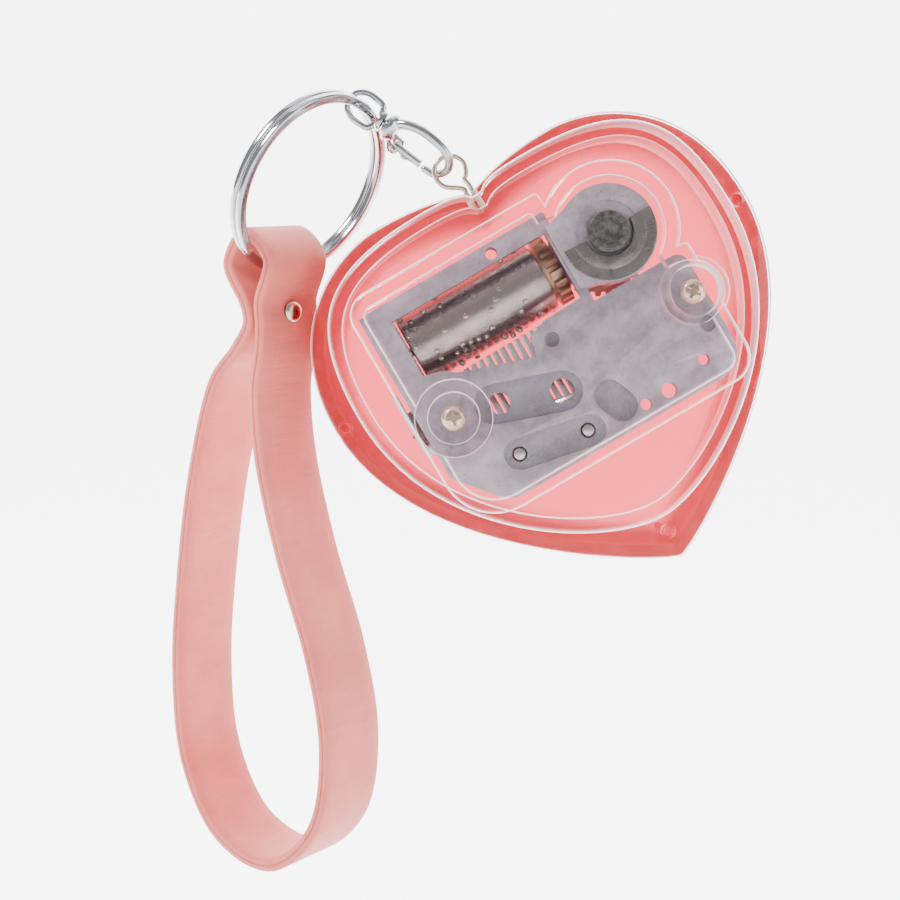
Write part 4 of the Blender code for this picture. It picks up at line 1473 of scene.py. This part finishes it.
    @staticmethod
    def half_ring(inner: float, outer: float, steps: int = 48) -> list[Point2]:
        """The lower half of a flat ring, a little over a half circle.

        Args:
            inner: the inner radius.
            outer: the outer radius.
            steps: the steps of each arc.

        Returns:
            The outline.
        """
        start, sweep = math.radians(3), -math.radians(189.5)
        arc = [start + sweep * i / steps for i in range(steps + 1)]
        return ([(outer * math.cos(a), outer * math.sin(a)) for a in arc]
                + [(inner * math.cos(a), inner * math.sin(a)) for a in reversed(arc)])

    def build(self, finishes: Finishes) -> None:
        """Builds the new pieces and dresses the carried-over ones.

        Args:
            finishes: every finish.
        """
        self.build_cylinder(finishes.nickel, finishes.pins)
        self.build_winding(finishes)
        keep("base_frame", finishes.zinc, 0.22)
        keep("comb", finishes.comb, 0.08)
        for node in ("comb_screw_1", "comb_screw_2", "cylinder_axle", "spring_barrel",
                     "governor_wheel", "worm", "governor_bracket"):
            keep(node, finishes.steel)
        keep("mainspring", finishes.spring_steel, 0.04)
        keep("cylinder_drive_gear", finishes.copper)
        keep("great_wheel", finishes.copper)
        keep("cylinder_end_gear", finishes.cream)
        keep("governor_fly", finishes.brown)


# ------------------------------------------------------------------ eye, clasp and ring
@dataclass
class Fittings:
    """The wire eye, the trigger clasp with its swivel, and the split ring."""

    eye_radius: float = 2.6
    eye_wire: float = 0.42
    ring_radius: float = RING_RADIUS
    coil_width: float = 1.6
    coil_height: float = 1.2

    def build_eye(self, finish: bpy.types.Material) -> None:
        """A pear-shaped wire eye whose two shanks go into the notch.

        Args:
            finish: the wire's plating.
        """
        bench = Bench(CASE)
        loop = []
        for i in range(25):
            angle = math.radians(-58 + 296 * i / 24)
            loop.append((EYE.x + self.eye_radius * math.cos(angle), 0,
                         EYE.z + self.eye_radius * math.sin(angle)))
        points = ([(0.55, 0, 28.2), (0.55, 0, 31.6), (0.58, 0, 32.9)] + loop
                  + [(-0.58, 0, 32.9), (-0.55, 0, 31.6), (-0.55, 0, 28.2)])
        eye = bench.wire("wire_eye", smooth_path(points, 4), self.eye_wire, 18,
                         upright=Vector((0, 1, 0)))
        dress(eye, finish, "warm_nickel", Body.CASE, "eye_loop")

    def build_clasp(self, finish: bpy.types.Material) -> None:
        """The hook with its collar and ears, the gate, and the gate's pin.

        Args:
            finish: the plating.
        """
        bench = Bench(HOOK)
        bow = smooth_path([(3.9, -2.7, 0), (1.9, -2.3, 0), (0.55, 0, 0), (1.6, 2.2, 0),
                           (4.2, 3.1, 0), (7.5, 3.2, 0), (10.2, 2.3, 0), (11.8, 1.0, 0)], 8)
        count = len(bow)
        taper = [0.82 + 0.28 * i / (count - 1) for i in range(count)]
        body = bench.wire("clasp_hook", bow, 0.8, 20, upright=Vector((0, 0, 1)), taper=taper)
        collar = bench.turned("collar", [
            (0, 13.2), (1.5, 13.2), (1.75, 13.1), (1.85, 12.95), (2.0, 12.8), (2.3, 12.6),
            (2.45, 12.2), (2.45, 11.9), (2.3, 11.6), (1.95, 11.2), (1.8, 10.95), (1.5, 10.8),
            (0, 10.8)], 48, TO_SIDE)
        ears = [bench.plate(f"ear_{i}", rounded([
            (9.0, -1.6, 0.3), (9.1, -3.1, 0.8), (10.7, -3.1, 0.8), (11.6, -1.3, 0.3)]),
            [(side, 0.1), (side + 0.1, 0), (side + 0.5, 0), (side + 0.6, 0.1)])
            for i, side in enumerate((-1.5, 0.9))]
        join(body, collar, *ears)
        cut(body, bench.bar("bore", 1.0, (11.9, 0, 0), (15, 0, 0), 32),
            bench.bar("pin_hole", 0.6, (9.9, -2.3, -3), (9.9, -2.3, 3), 24))
        dress(body, finish, "chrome", Body.CLASP, "clasp_body")
        gate = bench.sweep("clasp_gate_lever", smooth_path([
            (4.75, -2.5, 0), (6.5, -2.45, 0), (8.4, -2.4, 0), (9.9, -2.3, 0),
            (10.25, -2.3, 0)], 6), [(0.72 * s, 0.62 * u) for s, u in circle(1, sides=20)],
            [0.8] + [1.0] * 22 + [0.92, 0.7], upright=Vector((0, 0, 1)))
        thumb = bench.plate("thumb", rounded([(6.6, -2.6, 0.4), (7.4, -3.45, 0.35),
                                              (8.3, -3.45, 0.35), (8.8, -2.4, 0.3)]),
                            [(-0.45, 0.12), (-0.35, 0), (0.35, 0), (0.45, 0.12)])
        join(gate, thumb)
        cut(gate, bench.bar("gate_hole", 0.6, (9.9, -2.3, -3), (9.9, -2.3, 3), 24))
        dress(gate, finish, "chrome", Body.GATE, "clasp_gate")
        dress(bench.bar("clasp_pin", 0.45, (9.9, -2.3, -1.68), (9.9, -2.3, 1.68), 24, 0.12),
              finish, "chrome", Body.CLASP, "gate_pin")

    def build_swivel(self, finish: bpy.types.Material) -> None:
        """The stirrup that turns in the clasp's collar.

        Args:
            finish: the plating.
        """
        bench = Bench(CLASP)
        half = [(14.5, 0, -0.9), (15.2, 0, -2.2), (16.6, 0, -2.5), (18.4, 0, -2.4),
                (19.8, 0, -1.5), (20.4, 0, 0)]
        points = half + [(x, 0, -z) for x, _, z in reversed(half[:-1])]
        loop = bench.wire("swivel_stirrup", smooth_path(points, 6), 0.55, 18,
                          upright=Vector((0, 1, 0)))
        disc = bench.turned("disc", [
            (0, 12.3), (0.55, 12.3), (0.7, 12.45), (0.7, 13.5), (1.5, 13.5), (1.75, 13.6),
            (1.8, 13.85), (1.8, 14.2), (1.65, 14.5), (1.2, 14.62), (0, 14.62)], 40,
            TO_SIDE)
        dress(join(loop, disc), finish, "chrome", Body.SWIVEL, "swivel_loop")

    def build_ring(self, finish: bpy.types.Material) -> None:
        """The split ring: one flat wire wound twice, its crossing pressed in a short step.

        Args:
            finish: the plating.
        """
        bench = Bench(RING)
        half_w, half_h, rim = self.coil_width / 2, self.coil_height / 2, 0.3
        section = rounded([(-half_w, -half_h, rim), (half_w, -half_h, rim),
                           (half_w, half_h, rim), (-half_w, half_h, rim)], 4)
        offset = half_h + 0.05
        path = []
        for degree in range(0, 690, 3):
            share = min(1.0, max(0.0, (degree - 330) / 30))
            height = -offset + 2 * offset * share * share * (3 - 2 * share)
            angle = math.radians(degree + 200)
            path.append(Vector((self.ring_radius * math.cos(angle),
                                self.ring_radius * math.sin(angle), height)))
        scales = [0.8, 0.95] + [1.0] * (len(path) - 4) + [0.95, 0.8]
        ring = bench.sweep("wound_split_ring", path, section, scales, upright=Vector((0, 0, 1)))
        dress(ring, finish, "chrome", Body.RING, "split_ring", angle=40)

    def build(self, finishes: Finishes) -> None:
        """Builds the eye, the clasp and the ring.

        Args:
            finishes: every finish.
        """
        self.build_eye(finishes.warm_nickel)
        self.build_clasp(finishes.chrome)
        self.build_swivel(finishes.chrome)
        self.build_ring(finishes.chrome)


# ------------------------------------------------------------------ strap
@dataclass
class Strap:
    """A two-ply leather wrist strap, folded over the ring and riveted below it."""

    width: float = 13.0
    thick: float = 2.2
    rivet_level: float = -7.4
    path: tuple[Point2, ...] = (
        (0.0, 5.8), (-4.7, 1.2), (-1.8, -5.2), (-1.5, -9.0), (-5.0, -13.0), (-11.9, -19.4),
        (-19.1, -35.2), (-24.6, -53.0), (-28.3, -70.0), (-28.4, -86.0), (-22.0, -98.6),
        (-9.3, -102.6), (2.6, -94.3), (7.0, -80.0), (5.6, -64.5), (1.2, -48.5), (-1.6, -33.0),
        (-1.6, -21.0), (0.6, -13.5), (1.5, -9.0), (1.8, -5.2), (4.7, 1.2))

    def section(self) -> list[tuple[float, float, Ply]]:
        """The band's section: (out, across, ply) with a seam groove on each edge.

        Returns:
            The points, with the ply of the face that starts at each.
        """
        half_w, half_t = self.width / 2, self.thick / 2
        rim, groove, steps = 0.4, 0.22, 6
        skin, lining, seam = Ply.OUTER_EDGE, Ply.INNER_EDGE, Ply.SEAM
        edge = [(half_t, half_w - rim, skin), (half_t - 0.12, half_w - 0.12, skin),
                (half_t - rim, half_w, skin), (groove, half_w, seam),
                (0.07, half_w - groove, seam), (-0.07, half_w - groove, seam),
                (-groove, half_w, lining), (-half_t + rim, half_w, lining),
                (-half_t + 0.12, half_w - 0.12, lining), (-half_t, half_w - rim, Ply.INNER)]
        plies = [lining] * 3 + [seam] * 3 + [skin] * 3 + [Ply.OUTER]
        flat = [(half_w - rim) * (1 - 2 * i / steps) for i in range(1, steps)]
        far = [(out, -across, ply) for (out, across, _), ply in zip(reversed(edge), plies)]
        return (edge + [(-half_t, across, Ply.INNER) for across in flat] + far
                + [(half_t, -across, Ply.OUTER) for across in flat])

    def build(self, finishes: Finishes) -> None:
        """Builds the band with its map, and the rivet.

        Args:
            finishes: every finish.
        """
        bench = Bench(STRAP)
        path = smooth_path(self.path, 12, closed=True)
        count = len(path)
        section = self.section()
        bm = bmesh.new()
        layer = bm.loops.layers.uv.new("band")
        rings, lengths = [], [0.0]
        for i, here in enumerate(path):
            ahead = (path[(i + 1) % count] - path[i - 1]).normalized()
            outward = Vector((-ahead.y, ahead.x))
            if i:
                lengths.append(lengths[-1] + (here - path[i - 1]).length)
            rings.append([bm.verts.new(Vector((here.x - outward.x * out, across,
                                               here.y - outward.y * out)) * MM)
                          for out, across, _ in section])
        total = lengths[-1] + (path[0] - path[-1]).length
        lengths.append(total)
        size = len(section)
        for i in range(count):
            near, far = rings[i], rings[(i + 1) % count]
            for k in range(size):
                m = (k + 1) % size
                face = bm.faces.new((near[k], near[m], far[m], far[k]))
                face.material_index = section[k][2].value
                for corner, (v, s) in zip(face.loops, (
                        (lengths[i], k), (lengths[i], m), (lengths[i + 1], m),
                        (lengths[i + 1], k))):
                    corner[layer].uv = (section[s][1] + section[s][0], v)
        band = bench.put("leather_band", bm)
        cut(band, bench.bar("rivet_hole", 1.5, (-6, 0, self.rivet_level),
                            (6, 0, self.rivet_level), 32))
        dress(band, finishes.leather_outer, "pink_leather", Body.STRAP, "wrist_strap", angle=50)
        for finish in (finishes.leather_inner, finishes.edge_outer, finishes.edge_inner,
                       finishes.seam):
            band.data.materials.append(finish)
        log.info("strap is %.1f mm round", total)
        half = [(0, 4.0), (0.7, 3.97), (1.3, 3.82), (1.7, 3.5), (1.8, 3.25), (1.7, 3.1),
                (1.2, 3.05)]
        rivet = bench.turned("rivet", half + [(r, -h) for r, h in reversed(half)], 40,
                             Matrix.Translation((0, 0, self.rivet_level * MM))
                             @ TO_SIDE)
        dress(rivet, finishes.warm_nickel, "warm_nickel", Body.STRAP, "strap_rivet")


# ------------------------------------------------------------------ studio
@dataclass
class Studio:
    """A pale sweep, soft lights and the camera."""

    floor: float = -0.13
    camera: Colour = (-0.01927, -0.279, -0.01467)
    lens: float = 64.0
    sensor: float = 36.0
    half_width: float = 3.0
    near: float = -5.0
    bend_start: float = 0.3
    bend: float = 0.5
    top: float = 2.4

    def build(self) -> None:
        """Sets the studio up."""
        self.build_sweep()
        self.light("key", (-0.36, -0.28, 0.42), 0.18, 3.8, (1.0, 0.98, 0.96))
        self.light("fill", (0.45, -0.35, 0.10), 0.36, 1.5, (0.95, 0.97, 1.0))
        self.light("top", (0.05, 0.05, 0.55), 0.50, 1.2, (1.0, 1.0, 1.0))
        self.light("under", (-0.05, -0.25, -0.45), 0.30, 0.5, (1.0, 0.99, 0.98))
        world = bpy.data.worlds.new("studio")
        bpy.context.scene.world = world
        world.use_nodes = True
        backdrop = world.node_tree.nodes["Background"]
        backdrop.inputs["Color"].default_value = (0.9, 0.92, 0.95, 1)
        backdrop.inputs["Strength"].default_value = 0.5
        data = bpy.data.cameras.new("camera")
        data.lens = self.lens
        data.sensor_width = self.sensor
        data.clip_start = 0.01
        camera = show("camera", data)
        camera.location = self.camera
        camera.rotation_euler = (math.pi / 2, 0, 0)
        bpy.context.scene.camera = camera

    def build_sweep(self) -> None:
        """A floor that curves up into a wall behind the object."""
        bm = bmesh.new()
        bend, start, floor = self.bend, self.bend_start, self.floor
        profile = [(self.near, floor), (start, floor)]
        profile += [(start + bend * math.sin(a), floor + bend - bend * math.cos(a))
                    for a in (math.pi / 2 * i / 16 for i in range(1, 17))]
        profile += [(start + bend, self.top)]
        left = [bm.verts.new((-self.half_width, y, z)) for y, z in profile]
        right = [bm.verts.new((self.half_width, y, z)) for y, z in profile]
        for i in range(len(profile) - 1):
            bm.faces.new((left[i], right[i], right[i + 1], left[i + 1]))
        mesh = bpy.data.meshes.new("sweep")
        bm.to_mesh(mesh)
        bm.free()
        mesh.materials.append(Paper("paper_sweep", card=(0.85,) * 3, colour=(0.97,) * 3,
                                    dim=(0.10,) * 3, glow=4.9).make())
        mesh.shade_smooth()
        show("sweep", mesh)

    @staticmethod
    def light(name: str, place: Colour, size: float, power: float, colour: Colour) -> None:
        """A square soft light that looks at the object.

        Args:
            name: the light's name.
            place: where it is, in metres.
            size: its side, in metres.
            power: its power in watts.
            colour: its colour.
        """
        data = bpy.data.lights.new(name, "AREA")
        data.size = size
        data.energy = power
        data.color = colour
        lamp = show(name, data)
        lamp.location = place
        aim = Vector((-0.01, -0.01, 0)) - Vector(place)
        lamp.rotation_euler = aim.to_track_quat("-Z", "Y").to_euler()


def main() -> None:
    """Builds the music box and its studio."""
    logging.basicConfig(level=logging.INFO, format="%(name)s: %(message)s")
    finishes = make_finishes()
    for part in (Case(), Movement(), Fittings(), Strap()):
        part.build(finishes)
    Studio().build()


if __name__ == "__main__":
    main()
